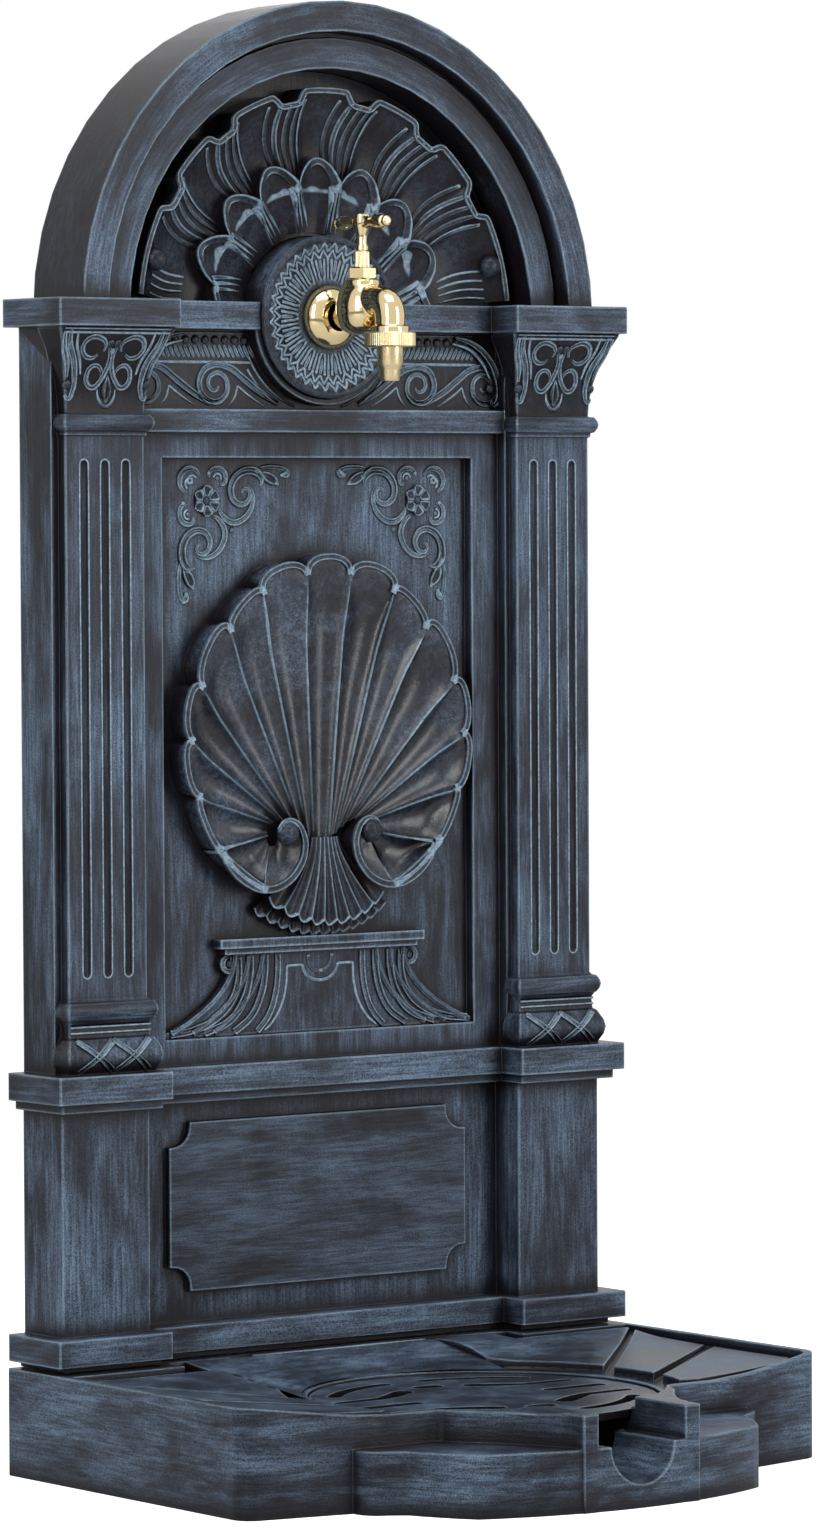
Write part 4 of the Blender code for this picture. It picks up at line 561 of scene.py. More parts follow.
def swept(kind, strokes):
    """A mesh of the strokes with one cross-section, lying on the ground plane."""
    profile = section_curve(kind)
    data = bpy.data.curves.new("strokes_" + kind, "CURVE")
    data.dimensions = "2D"
    data.resolution_u = 5
    data.bevel_mode = "OBJECT"
    data.bevel_object = profile
    data.use_fill_caps = True
    for points, widths in strokes:
        if isinstance(widths, float):
            widths = [widths] * len(points)
        line = data.splines.new("BEZIER")
        line.radius_interpolation = "CARDINAL"
        line.bezier_points.add(len(points) - 1)
        for knot, (across, up), width in zip(line.bezier_points, points, widths):
            knot.co = (across * MM, up * MM, 0.0)
            knot.handle_left_type = knot.handle_right_type = "AUTO"
            knot.radius = width
    pick(placed(data.name, data))
    bpy.ops.object.convert(target="MESH")
    bpy.data.objects.remove(profile)
    return bpy.context.object


print("cross-sections:", {kind: len(outline) for kind, outline in SECTIONS.items()})


# %% [markdown]
# Round knobs sit between the strokes: beads, flower hearts and the balls in the curls. One sphere is
# flattened and copied to each place. Then all of a carving's parts are joined, stood upright on their face,
# bent to follow it, and painted. What repeats on the other side of the middle is a mirrored copy.

# %% Knobs and carvings
KNOB_FLATNESS = 0.75
PIER_X = 182.1


def beads(places, radius):
    """Small rounded knobs, half sunk in the face they sit on."""
    bpy.ops.object.select_all(action="DESELECT")
    bpy.ops.mesh.primitive_uv_sphere_add(segments=14, ring_count=10, radius=radius * MM)
    first = bpy.context.object
    first.scale = (1.0, 1.0, KNOB_FLATNESS)
    bpy.ops.object.transform_apply(location=False, rotation=False, scale=True)
    knobs = []
    for across, up in places:
        knobs.append(placed("knob", first.data.copy()))
        knobs[-1].location = (across * MM, up * MM, 0.0)
    bpy.data.objects.remove(first)
    made = joined(knobs, "knobs")
    bpy.ops.object.transform_apply(location=True, rotation=False, scale=False)
    return made


def finish_carving(piece, paint=carved_paint):
    in_edit_mode(piece, FACE_OUT)
    smooth(piece, 50.0)
    paint_with(piece, paint)
    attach(piece, "column")


def carving(name, front, strokes, knobs=()):
    """One carved piece: its strokes and knobs joined, stood upright on a face, and bent to follow it."""
    layers = []
    for kind in SECTIONS:
        chosen = [(points, widths) for each, points, widths in strokes if each == kind]
        if chosen:
            layers.append(swept(kind, chosen))
    layers += [beads(places, radius) for places, radius in knobs]
    piece = joined(layers, name)
    for vertex in piece.data.vertices:
        across, up, height = vertex.co
        proud = front(across / MM, up / MM) if callable(front) else front
        vertex.co = (across, BACK - proud * MM - height, up)
    finish_carving(piece)
    print(name, "points:", len(piece.data.vertices))
    return piece


def mirrored(piece, name):
    """The same piece on the other side of the middle."""
    copy = placed(name, piece.data.copy())
    copy.data.transform(Matrix.Scale(-1.0, 4, (1.0, 0.0, 0.0)))
    copy.data.flip_normals()
    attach(copy, "column")


def both_ways(strokes):
    """The strokes and their mirror images about the middle."""
    doubled = []
    for kind, points, widths in strokes:
        doubled += [(kind, points, widths), (kind, [(-across, up) for across, up in points], widths)]
    return doubled


def moved(strokes, by):
    return [(kind, [(by + across, up) for across, up in points], widths) for kind, points, widths in strokes]


def on_both_piers(name, front, strokes, knobs=()):
    """The same carving on the left and the right pilaster, drawn about the pilaster's middle."""
    for side, word in ((-1, "left"), (1, "right")):
        middle = side * PIER_X
        balls = [([(middle + across, up) for across, up in places], radius) for places, radius in knobs]
        carving(f"{name}_{word}", front, moved(strokes, middle), balls)


def clamped(value):
    return max(0.0, min(1.0, value))


def on_circle(centre, angle, reach):
    turn = math.radians(angle)
    return centre[0] + reach * math.cos(turn), centre[1] + reach * math.sin(turn)


def arc(centre, reach, start, end, count):
    return [on_circle(centre, start + (end - start) * i / (count - 1), reach) for i in range(count)]


# %% [markdown]
# The panel's two upper corners each hold a flower between curled leaves. One arm is drawn, counted from the
# flower's middle, and the other is the same across the corner's diagonal.

# %% Corner ornaments
FLOWER = (-86.0, 629.0)
PANEL_FACE = 21.0
CORNER_C = [(-5.5, 17.0), (-9.0, 20.5), (-14.0, 21.5), (-19.0, 19.0), (-21.5, 14.0), (-20.5, 9.0),
            (-17.0, 5.5)]
CORNER_ARM = [
    ("twin", [(1.5, 16.0), (3.5, 20.0), (8.5, 21.6), (13.5, 19.5), (15.3, 15.0), (14.0, 11.2), (10.8, 10.8)],
     [1.2, 1.7, 2.0, 2.1, 1.9, 1.5, 1.1]),
    ("cord", [(5.5, 15.3), (8.0, 17.8), (11.3, 16.8), (11.8, 13.8)], [0.8, 1.0, 1.0, 0.7]),
    ("cord", [(-8.0, 15.5), (-11.5, 16.8), (-14.8, 14.5), (-14.4, 11.9), (-12.5, 11.4)],
     [0.8, 1.0, 1.1, 1.0, 0.8]),
    ("twin", [(43.5, 9.5), (44.0, 14.0), (40.5, 18.5), (33.0, 20.0), (26.0, 18.0), (20.5, 12.0), (19.5, 4.5),
              (23.5, -1.2), (30.0, -2.0), (34.5, 2.5), (33.3, 7.3), (29.5, 7.6), (28.4, 5.0)],
     [0.7, 2.2, 3.2, 3.2, 3.0, 2.8, 2.6, 2.4, 2.1, 1.8, 1.5, 1.2, 0.9]),
    ("twin", [(9.5, -4.5), (11.5, -8.5), (15.0, -12.0), (20.5, -14.2), (27.5, -12.8), (34.0, -7.5),
              (37.0, 0.0), (36.3, 6.0), (33.2, 10.0)],
     [1.0, 1.9, 2.3, 2.4, 2.4, 2.2, 1.9, 1.4, 0.7]),
    ("petal", [(42.0, 18.8), (47.5, 16.4), (53.5, 13.2), (58.0, 10.6)], [1.0, 3.2, 3.3, 0.8]),
    ("leaf", [(39.5, 20.4), (47.0, 22.0), (55.0, 22.2), (61.5, 21.2), (66.0, 19.0)],
     [0.8, 1.9, 1.9, 2.0, 1.6]),
    ("petal", [(66.3, 20.6), (64.0, 17.6), (59.5, 16.6)], [1.3, 2.6, 1.2]),
]


def from_flower(points):
    return [(FLOWER[0] + across, FLOWER[1] + up) for across, up in points]


def over_diagonal(points):
    return [(-up, -across) for across, up in points]


def corner_ornament():
    strokes = []
    for turn in range(6):
        petal = [on_circle((0.0, 0.0), 30.0 + 60.0 * turn, reach) for reach in (2.8, 5.2, 8.0, 10.2)]
        strokes.append(("petal", from_flower(petal), [1.6, 3.6, 4.4, 2.0]))
    strokes.append(("twin", from_flower(CORNER_C), [1.2, 1.7, 2.2, 2.4, 2.2, 1.7, 1.2]))
    for kind, points, widths in CORNER_ARM:
        strokes.append((kind, from_flower(points), widths))
        strokes.append((kind, from_flower(over_diagonal(points)), widths))
    pips = [(8.8, 14.9), (1.8, 18.4)]
    pips += over_diagonal(pips) + [(-12.0, 12.0)]
    knobs = [
        (from_flower([(0.0, 0.0)]), 2.9),
        (from_flower(pips), 1.6),
        (from_flower([(20.0, -19.3)]), 2.0),
    ]
    return carving("corner_ornament_left", PANEL_FACE - 0.1, strokes, knobs)


mirrored(corner_ornament(), "corner_ornament_right")


# %% [markdown]
# The frieze runs between the capitals and under the rosette: a row of beads, a row of slanted leaves, and
# below a fillet the running scrolls, whose tails dip under the grooves that hug the rosette. Only its left
# half is drawn, and the two scrolls are one line drawn at two places.

# %% Frieze
FRIEZE_FACE = 27.0
SCROLL_CENTRES = (-81.8, -136.4)
SCROLL_Z = 705.6
ROSETTE_CENTRE = (0.0, 749.5)
BEAD_PITCH = 7.85
LEAF_PITCH = 3.95
BEADS_UP, FILLET_UP, TOP_CORD_UP = 734.0, 719.4, 738.6
COIL = [(2.6, -45.0), (4.6, -95.0), (6.2, -145.0), (6.9, -200.0), (6.9, -255.0), (7.4, -310.0), (8.6, -365.0),
        (10.6, -415.0), (12.6, -465.0), (13.8, -515.0), (13.7, -560.0), (12.6, -605.0)]
COIL_TAIL = [(9.5, 10.6), (21.0, 3.6), (34.0, -5.2), (49.0, -13.0)]
COIL_WIDTHS = [0.9, 1.3, 1.6, 1.7, 1.8, 1.9, 2.0, 2.1, 2.3, 2.4, 2.4, 2.5, 2.6, 2.8, 2.8, 2.0]


def frieze_half():
    strokes = []
    for centre in SCROLL_CENTRES:
        points = [on_circle((centre, SCROLL_Z), angle, reach) for reach, angle in COIL]
        points += [(centre + across, SCROLL_Z + up) for across, up in COIL_TAIL]
        strokes.append(("twin", points, COIL_WIDTHS))
        cusp = (centre + 17.0, SCROLL_Z - 1.5)
        strokes.append(("cord", [(centre + 9.5, 690.6), (centre + 14.5, 696.5), cusp], [0.5, 1.0, 0.7]))
        strokes.append(("cord", [cusp, (centre + 25.5, 698.0), (centre + 38.0, 690.8)], [0.8, 1.0, 0.6]))
    strokes.append(("cord", arc(ROSETTE_CENTRE, 61.5, 205.0, 252.0, 9), 1.1))
    strokes.append(("cord", arc(ROSETTE_CENTRE, 66.5, 211.0, 240.0, 9), 1.1))
    for i in range(20):
        left = -131.0 + LEAF_PITCH * i
        strokes.append(("leaf", [(left, 730.8), (left + 1.4, 727.4), (left + 4.2, 722.8)], [1.0, 1.7, 1.1]))
    strokes.append(("cord", [(-133.0, FILLET_UP), (-90.0, FILLET_UP), (-53.6, FILLET_UP)], 1.2))
    strokes.append(("cord", [(-128.0, TOP_CORD_UP), (-90.0, TOP_CORD_UP), (-49.0, TOP_CORD_UP)], 0.9))
    row = [(-51.4 - BEAD_PITCH * i, BEADS_UP) for i in range(10)]
    return carving("frieze_left", FRIEZE_FACE - 0.1, strokes, [(row, 3.1)])


mirrored(frieze_half(), "frieze_right")


# %% [markdown]
# Each capital flares out towards the cornice. Its front holds a pointed leaf, two heart-shaped loops and two
# rings under the cornice with a bead between them. The flare is a formula, so the flat carving is bent over
# it.

# %% Capitals
NECK_Z = 684.8
CAPITAL_TOP = 738.8
CAPITAL_FACE, CAPITAL_FLARE = 45.4, 16.0
CAPITAL_LOOP = [(2.5, 727.0), (0.8, 720.0), (2.2, 713.0), (6.5, 705.0), (11.0, 701.6), (15.6, 704.0),
                (16.8, 709.5), (14.2, 714.8), (9.5, 715.6), (5.6, 712.2), (5.4, 707.6)]
CAPITAL_RING = [(6.8, 724.6), (6.0, 729.0), (11.5, 733.2), (19.0, 733.4), (23.4, 729.0), (21.8, 723.2),
                (15.0, 720.4), (10.4, 722.8)]
CAPITAL_STROKES = both_ways([
    ("twin", CAPITAL_LOOP, [1.2, 1.8, 2.0, 2.0, 2.0, 2.0, 2.0, 1.8, 1.6, 1.2, 0.7]),
    ("twin", CAPITAL_RING, [0.8, 1.3, 1.7, 1.9, 1.9, 1.8, 1.5, 0.8]),
]) + [
    ("cord", [(-7.0, 700.5), (-5.6, 694.4), (0.0, 689.4), (5.6, 694.4), (7.0, 700.5)],
     [0.6, 1.2, 1.4, 1.2, 0.6]),
    ("leaf", [(0.0, 709.5), (0.0, 703.0), (0.0, 697.0), (0.0, 692.0)], [0.8, 3.6, 4.2, 0.8]),
]


def capital_front(across, up):
    """How far the capital stands out at a height along its flare."""
    share = clamped((up - NECK_Z) / (CAPITAL_TOP - NECK_Z))
    return CAPITAL_FACE + CAPITAL_FLARE * share ** 2


capital_knobs = [([(-2.6, 729.5), (2.6, 729.5)], 2.8), ([(0.0, 725.0)], 2.2)]
on_both_piers("capital_carving", capital_front, CAPITAL_STROKES, capital_knobs)


# %% [markdown]
# The scallop is a fan of fifteen dished lobes. Extruding and insetting a primitive can't give such a curved
# dish, so each lobe starts as a flat grid whose points are moved to their places between two ridges: the lobe
# sinks in the middle like a spoon, rises to a rounded end, and then drops to the panel as the shell's side
# wall.

# %% Scallop lobes
HINGE_Z = 404.0
RIDGE_INNER = [(6.3, 1.5), (11.5, 5.0), (17.0, 9.0), (23.6, 13.0), (33.0, 15.0), (41.0, 13.0), (43.5, 5.0),
               (42.0, -2.0)]
RIDGE_OUTER = [(17.6, 177.8), (53.1, 164.7), (80.4, 140.4), (103.3, 103.8), (111.2, 68.6), (105.0, 32.0),
               (88.0, -4.0), (53.0, -31.0)]
LOBE_PEAKS = [(0.0, 189.7), (42.0, 182.0), (69.4, 160.7), (97.6, 133.6), (115.2, 92.5), (116.4, 51.0),
              (101.8, 13.4), (80.8, -13.0)]
RIM_FRONT, HINGE_FRONT, SCALLOP_FOOT = 39.0, 28.5, 21.2
LOBE_ACROSS, LOBE_ALONG = 14, 26


def blend(first, last, share):
    return tuple(a + (b - a) * share for a, b in zip(first, last))


def ease(value, low, high):
    share = clamped((value - low) / (high - low))
    return share * share * (3.0 - 2.0 * share)


def lobe_point(left, right, peak, across, along):
    """A point of a lobe, -1 to 1 across between its ridges and 0 to 1 along from hinge to rim."""
    base = blend(blend(*left, along), blend(*right, along), (across + 1.0) / 2.0)
    middle = blend(left[1], right[1], 0.5)
    round_end = (1.0 - abs(across) ** 2.3) ** (1.0 / 2.3)
    reach = ease(along, 0.45, 1.0) * round_end
    place = (base[0] + (peak[0] - middle[0]) * reach, base[1] + (peak[1] - middle[1]) * reach)
    half = math.dist(blend(*left, along), blend(*right, along)) / 2.0
    ridge = HINGE_FRONT + 6.0 * along + (RIM_FRONT - HINGE_FRONT - 6.0) * ease(along, 0.72, 1.0)
    hollow = min(half * 0.55, 6.5) * (1.0 - ease(along, 0.80, 0.985) * round_end)
    sink = hollow * (1.0 - abs(across) ** 2.2)
    crest = 1.1 * math.exp(-(((1.0 - abs(across)) * half / 0.9) ** 2)) * (1.0 - ease(along, 0.9, 1.0))
    return place[0], place[1] + HINGE_Z, ridge - sink + crest


def lobes():
    """Ridge pairs and peak of every lobe, from the middle out to both ends."""
    ridges = list(zip(RIDGE_INNER, RIDGE_OUTER))
    mirror = [tuple((-across, up) for across, up in ridge) for ridge in ridges]
    found = [(mirror[0], ridges[0], LOBE_PEAKS[0])]
    for index in range(1, len(ridges)):
        across, up = LOBE_PEAKS[index]
        found.append((ridges[index - 1], ridges[index], (across, up)))
        found.append((mirror[index], mirror[index - 1], (-across, up)))
    return found


def grid_piece(name, grids, closed=False, weld=WELD):
    """One piece from grids of points (across, up, front); a closed one gets faces over its open ends."""
    sheets = []
    for rows in grids:
        bpy.ops.mesh.primitive_grid_add(x_subdivisions=len(rows[0]) - 1, y_subdivisions=len(rows) - 1,
                                        size=MM, calc_uvs=False)
        sheets.append(bpy.context.object)
        points = [point for row in rows for point in row]
        for vertex, (across, up, front) in zip(sheets[-1].data.vertices, points, strict=True):
            vertex.co = (across * MM, BACK - front * MM, up * MM)
    piece = joined(sheets, name)
    fill = [(bpy.ops.mesh.fill_holes, {"sides": 0})] if closed else []
    in_edit_mode(piece, weld, *fill, FACE_OUT)
    return piece


def lobe_grid(left, right, peak):
    grid = []
    for step in range(LOBE_ALONG + 1):
        along = (step / LOBE_ALONG) ** 0.85
        grid.append([
            lobe_point(left, right, peak, -1.0 + 2.0 * i / LOBE_ACROSS, along) for i in range(LOBE_ACROSS + 1)
        ])
    for front in (36.0, 29.0, SCALLOP_FOOT):
        grid.append([(across, up, front) for across, up, _ in grid[LOBE_ALONG]])
    return grid


print("lobes:", len(lobes()))


# %% [markdown]
# At both lower ends the lip curls in round a ball. The lip is a swept rim like the other carvings, and the
# dished ground inside the curl is one more grid that shares its edge with the last ridge.

# %% Scallop lip and curls
SCALLOP_HOOK = [(86.5, 400.0), (80.5, 389.5), (67.0, 378.5), (52.0, 374.2), (37.5, 377.4), (26.5, 386.5),
                (21.0, 398.5), (22.2, 410.0), (28.5, 417.8), (36.5, 418.2), (41.5, 413.0)]
HOOK_WIDTHS = [2.2, 2.4, 2.6, 2.7, 2.7, 2.6, 2.5, 2.3, 2.0, 1.7, 1.2]
RIM_MIDDLE, RIM_INSET = HINGE_Z + 85.0, 0.985
LIP_SINK = 0.9


def rounded_line(points, steps=5):
    """A smooth line through the given points."""
    line = []
    for i in range(len(points) - 1):
        a, b, c, d = [Vector(points[max(0, min(len(points) - 1, i + k))]) for k in (-1, 0, 1, 2)]
        for t in [step / steps for step in range(steps)]:
            bend = (2 * a - 5 * b + 4 * c - d) * t * t + (3 * b - a - 3 * c + d) * t ** 3
            line.append(0.5 * (2 * b + (c - a) * t + bend))
    line.append(Vector(points[-1]))
    return [tuple(point) for point in line]


def lobe_rim(left, right, peak):
    """The raised lip along a lobe's round end, drawn in slightly from the lobe's edge."""
    points = []
    for i in range(11):
        across, up, _ = lobe_point(left, right, peak, -math.cos(math.pi * i / 10), 1.0)
        points.append((across * RIM_INSET, RIM_MIDDLE + (up - RIM_MIDDLE) * RIM_INSET))
    return points


def hook_grid(side):
    """The dished ground inside the curled lip, from the curl's ball out to the lip."""
    grid = []
    for share in [step / 8 for step in range(9)]:
        row = []
        for lip in rounded_line([(53.0, 374.2)] + SCALLOP_HOOK[4:9], 4):
            open_share = min(1.0, len(row) / 6)
            across, up = blend((42.0 - 5.0 * open_share, 402.0), lip, share)
            front = 28.2 + 9.6 * share ** 1.4 - 3.0 * math.sin(math.pi * share) * open_share
            row.append((side * across, up, front))
        grid.append(row)
    grid.append([(across, up, SCALLOP_FOOT) for across, up, _ in grid[-1]])
    return grid


dish_grids = [lobe_grid(*lobe) for lobe in lobes()] + [hook_grid(1.0), hook_grid(-1.0)]
scallop_dish = grid_piece("scallop_dish", dish_grids)
lip_strokes = [("rim", lobe_rim(*lobe), 2.3) for lobe in lobes()]
lip_strokes += both_ways([("rim", SCALLOP_HOOK, HOOK_WIDTHS)])
carving("scallop_lip", RIM_FRONT - LIP_SINK, lip_strokes, [([(-34.0, 410.4), (34.0, 410.4)], 8.2)])
finish_carving(scallop_dish, dished_paint)
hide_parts("scallop_shell")
print("scallop dish points:", len(scallop_dish.data.vertices))


# %% [markdown]
# Below the hinge hang two pleated aprons, a short one in front of a wider one, each with a scalloped hem. The
# pleats are waves over a grid, deepest at the hem.

# %% Scallop apron
def drape_grid(top, bottom, fronts, flutes, fall, steps=14):
    """A pleated apron: half widths and heights at its top and bottom, and its scalloped lower edge."""
    grid = []
    for along in [step / steps for step in range(steps + 1)]:
        row = []
        for across in [-1.0 + i / (flutes * 4) for i in range(flutes * 8 + 1)]:
            wave = abs(math.sin(math.pi * flutes * (across + 1.0) / 2.0))
            spread = top[0] + (bottom[0] - top[0]) * along ** 1.5
            up = top[1] + (bottom[1] - top[1]) * along
            up += 17.0 * along * abs(across) ** 2.2 - fall * wave * along ** 6
            front = fronts[0] + (fronts[1] - fronts[0]) * along + 2.6 * (1.0 - wave) * (0.35 + 0.65 * along)
            row.append((across * spread, up, front - 5.0 * abs(across) ** 3))
        grid.append(row)
    hem = grid[-1]
    grid.append([(across, up + 0.6, front - 2.0) for across, up, front in hem])
    grid.append([(across, up + 3.0, SCALLOP_FOOT) for across, up, _ in hem])
    return grid


apron = grid_piece("scallop_apron", [
    drape_grid((13.0, 407.0), (47.0, 352.0), (33.5, 37.0), 9, 3.6),
    drape_grid((20.0, 398.0), (54.0, 344.5), (25.0, 30.0), 13, 2.8),
])
finish_carving(apron)
print("apron points:", len(apron.data.vertices))


# %% [markdown]
# The half shell under the arch has two tiers. The outer one is cupped and has smooth lobes between groups of
# fine ridges, and its rim is scooped out above each group. The inner one ends in a wavy rim with seven peaks.
# Both are fans of points between two edges, and each edge and depth is a formula of the angle.

# %% Shell under the arch
ARCH_CENTRE = (0.0, 749.0)
SHELL_REACH, TIER_REACH, TIER_START = 151.0, 88.0, 57.0
SHELL_LOW, SHELL_HIGH = 5.2, 174.8
RIDGE_GROUPS = [90.0 + side * angle for side in (-1, 1) for angle in (11.6, 34.5, 57.5)]
PEAK_PITCH = 21.7
OUTER_FOOT, OUTER_FACE, OUTER_CUP = 17.4, 21.0, 18.0
INNER_FOOT, INNER_FACE, INNER_CUP = 18.5, 17.5, 10.5
RIM_FACE, INNER_LIMIT = 37.6, 101.0
TIER_PEAKS = [90.0 + PEAK_PITCH * step for step in range(-3, 4)]


def group_share(angle, spread, power):
    """1 in the middle of a group of ridges, 0 outside it."""
    return max(math.exp(-(((angle - group) / spread) ** power)) for group in RIDGE_GROUPS)


def peak_distance(angle):
    """0 at a peak of the inner tier, 1 between two peaks."""
    return min(abs(angle - peak) for peak in TIER_PEAKS) / (PEAK_PITCH / 2.0)


def shell_edge(angle):
    return SHELL_REACH - 8.0 * group_share(angle, 4.3, 6)


def tier_edge(angle):
    return TIER_REACH - 1.5 + 18.0 * (1.0 - min(1.0, peak_distance(angle)) ** 1.8)


def outer_front(angle, reach):
    share = (reach - TIER_REACH) / (shell_edge(angle) - TIER_REACH)
    ridged = group_share(angle, 5.6, 4)
    cup = OUTER_FACE + OUTER_CUP * max(0.0, share) ** 2.2
    dip = 2.2 * math.sin(math.pi * clamped(share))
    return cup + 2.4 * ridged * (1.0 - share) - (1.0 - ridged) * dip


def inner_front(angle, reach):
    share = (reach - TIER_START) / (tier_edge(angle) - TIER_START)
    ripple = 3.0 * peak_distance(angle) ** 3 * (1.0 - 0.6 * share)
    return INNER_FACE + INNER_CUP * max(0.0, share) ** 1.5 + ripple


def polar(across, up):
    return math.degrees(math.atan2(up - ARCH_CENTRE[1], across)), math.hypot(across, up - ARCH_CENTRE[1])


def fan_grid(first, last, front, foot, steps=240, rows=18):
    """A fan from one reach out to an edge, and then straight back to the wall."""
    grid = []
    for share in [row / rows for row in range(rows + 1)]:
        line = []
        for i in range(steps + 1):
            angle = SHELL_LOW + (SHELL_HIGH - SHELL_LOW) * i / steps
            reach = first + (last(angle) - first) * share
            line.append(on_circle(ARCH_CENTRE, angle, reach) + (front(angle, reach),))
        grid.append(line)
    return grid + [[(across, up, foot) for across, up, _ in grid[-1]]]


arch_dish = grid_piece("arch_shell_dish", [
    fan_grid(TIER_REACH - 4.0, shell_edge, outer_front, OUTER_FOOT),
    fan_grid(TIER_START, tier_edge, inner_front, INNER_FOOT),
])
finish_carving(arch_dish, shell_paint)
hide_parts("tympanum_shell")
print("arch shell points:", len(arch_dish.data.vertices))


# %% [markdown]
# Five fine ridges lie in each group, four shorter ones run out at each end beside a ball, and a raised rim
# follows both wavy edges. They are strokes again, bent over the same formulas as the dish below them.

# %% Ridges and rims of the arch shell
def ridge_stroke(angle, lean, start, end, width):
    points = [
        on_circle(ARCH_CENTRE, angle + lean * math.sin(math.pi * i / 6), start + (end - start) * i / 6)
        for i in range(7)
    ]
    return "cord", points, [width * 0.8] + [width] * 5 + [width * 0.9]


ridges = [
    ridge_stroke(group + 3.0 * step, 1.6, 92.0 + 3.0 * abs(step), 141.5 + 1.2 * abs(step), 1.7)
    for group in RIDGE_GROUPS for step in range(-2, 3)
]
ridges += [
    ridge_stroke(90.0 + side * (76.0 + 2.6 * step), 0.8, 106.0, 137.0, 1.0)
    for side in (1, -1) for step in range(4)
]
carving("arch_shell_ridges", lambda across, up: outer_front(*polar(across, up)), ridges)

rim_angles = [SHELL_LOW + (SHELL_HIGH - SHELL_LOW) * i / 160 for i in range(161)]
rim = [on_circle(ARCH_CENTRE, angle, shell_edge(angle) - 1.6) for angle in rim_angles]
carving("arch_shell_rim", RIM_FACE, [("rim", rim, 2.1)], [([(-136.0, 785.0), (136.0, 785.0)], 7.6)])

tier = [("rim", [on_circle(ARCH_CENTRE, angle, tier_edge(angle) - 1.0) for angle in rim_angles], 2.6)]
for step in range(-4, 4):
    for offset in (-2.6, 0.0, 2.6):
        angle = 90.0 + PEAK_PITCH * (step + 0.5)
        if SHELL_LOW < angle + offset < SHELL_HIGH:
            line = [
                on_circle(ARCH_CENTRE, angle + offset * (1.0 + 0.12 * i) - 1.6 * i, 88.0 - 7.0 * i)
                for i in range(5)
            ]
            tier.append(("cord", line, [1.6, 1.6, 1.4, 1.1, 0.6]))


def tier_front(across, up):
    angle, reach = polar(across, up)
    return inner_front(angle, min(reach, INNER_LIMIT)) - 0.4


carving("arch_shell_tier", tier_front, tier)


# %% [markdown]
# The rosette's face carries two zigzag rings near its smooth rim, and long loops that point at the tap. A
# loop is drawn once and turned round the centre eighteen times.

# %% Rosette
ZIGZAGS, LOOPS = 36, 18
ROSETTE_FACE, ROSETTE_RISE, RISE_REACHES = 38.8, 2.1, (43.5, 46.8)
ROSETTE_LOOP = [(-5.4, 38.5), (-4.6, 32.0), (-3.9, 26.0), (0.0, 23.6), (3.9, 26.0), (4.6, 32.0), (5.4, 38.5)]


def rosette_line(places):
    return [on_circle(ROSETTE_CENTRE, angle, reach) for angle, reach in places]


def rosette_front(across, up):
    reach = math.hypot(across, up - ROSETTE_CENTRE[1])
    return ROSETTE_FACE + ROSETTE_RISE * ease(reach, *RISE_REACHES)


rosette_strokes = []
for inner, outer, width in ((43.0, 49.0, 1.15), (38.8, 44.4, 1.05)):
    corners = rosette_line((180.0 * i / ZIGZAGS, outer if i % 2 else inner) for i in range(2 * ZIGZAGS + 1))
    for first, last in zip(corners, corners[1:]):
        rosette_strokes.append(("cord", [first, blend(first, last, 0.5), last], width))
for middle in [360.0 * i / LOOPS for i in range(LOOPS)]:
    rosette_strokes += [
        ("cord", rosette_line((middle + turn, reach) for turn, reach in ROSETTE_LOOP), 1.15),
        ("leaf", rosette_line((middle, reach) for reach in (27.5, 33.0, 38.0)), [0.7, 1.6, 1.2]),
        ("cord", rosette_line((middle + 10.0, reach) for reach in (23.0, 31.0, 39.0)), [0.7, 1.1, 1.3]),
    ]
for reach, width in ((51.2, 2.4), (22.6, 0.9)):
    rosette_strokes.append(("cord", arc(ROSETTE_CENTRE, reach, 0.0, 360.0, 61), width))
carving("rosette_carving", rosette_front, rosette_strokes)


# %% [markdown]
# The bracket under the scallop has a raised shield line round its plain field, a half-round drop, and three
# double ribs on each side that flare down to the frame. Under each end of the shelf sits a small curl. All of
# it lies on the bracket's flat face, so the right half is drawn and mirrored.

# %% Bracket
BRACKET_FACE = 25.8
BRACKET_RIBS = [
    ([(34.5, 330.5), (34.6, 319.0), (36.5, 305.0), (42.0, 291.0), (51.5, 280.4)], 2.6),
    ([(45.0, 330.5), (45.4, 318.0), (48.6, 304.0), (56.5, 290.5), (70.0, 281.0)], 3.0),
    ([(57.0, 330.5), (57.6, 317.0), (62.0, 302.5), (73.0, 289.0), (94.0, 281.2)], 3.2),
    ([(66.5, 329.5), (66.6, 315.0), (72.0, 301.5), (86.0, 289.5), (104.0, 283.4), (121.0, 281.4)], 3.0),
]
bracket_strokes = [("twin", points, width) for points, width in BRACKET_RIBS]
bracket_strokes += [
    ("cord", [(27.0, 322.5), (27.6, 311.0), (31.5, 297.0), (39.0, 286.0), (45.5, 280.8)], 1.1),
    ("cord", [(27.0, 322.5), (20.0, 322.8), (14.5, 322.6)], 1.1),
    ("cord", [(14.5, 322.6), (12.5, 317.6), (7.4, 313.4), (0.0, 311.8)], 1.3),
    ("cord", [(9.6, 329.0), (8.6, 323.4), (5.0, 319.4), (0.0, 318.0)], 1.5),
    ("twin", [(70.0, 331.5), (76.4, 330.0), (78.6, 325.4), (75.6, 321.2), (71.4, 321.8), (70.8, 325.2)],
     [1.0, 1.8, 2.0, 2.0, 1.7, 1.0]),
]
carving("bracket_carving", BRACKET_FACE, both_ways(bracket_strokes), [([(-73.6, 325.6), (73.6, 325.6)], 2.6)])


# %% [markdown]
# The cushion at the foot of each pilaster is bound by double ribbons that cross twice, and two fine cords lie
# above it. The ribbons are straight strokes bent over the cushion's swelling.

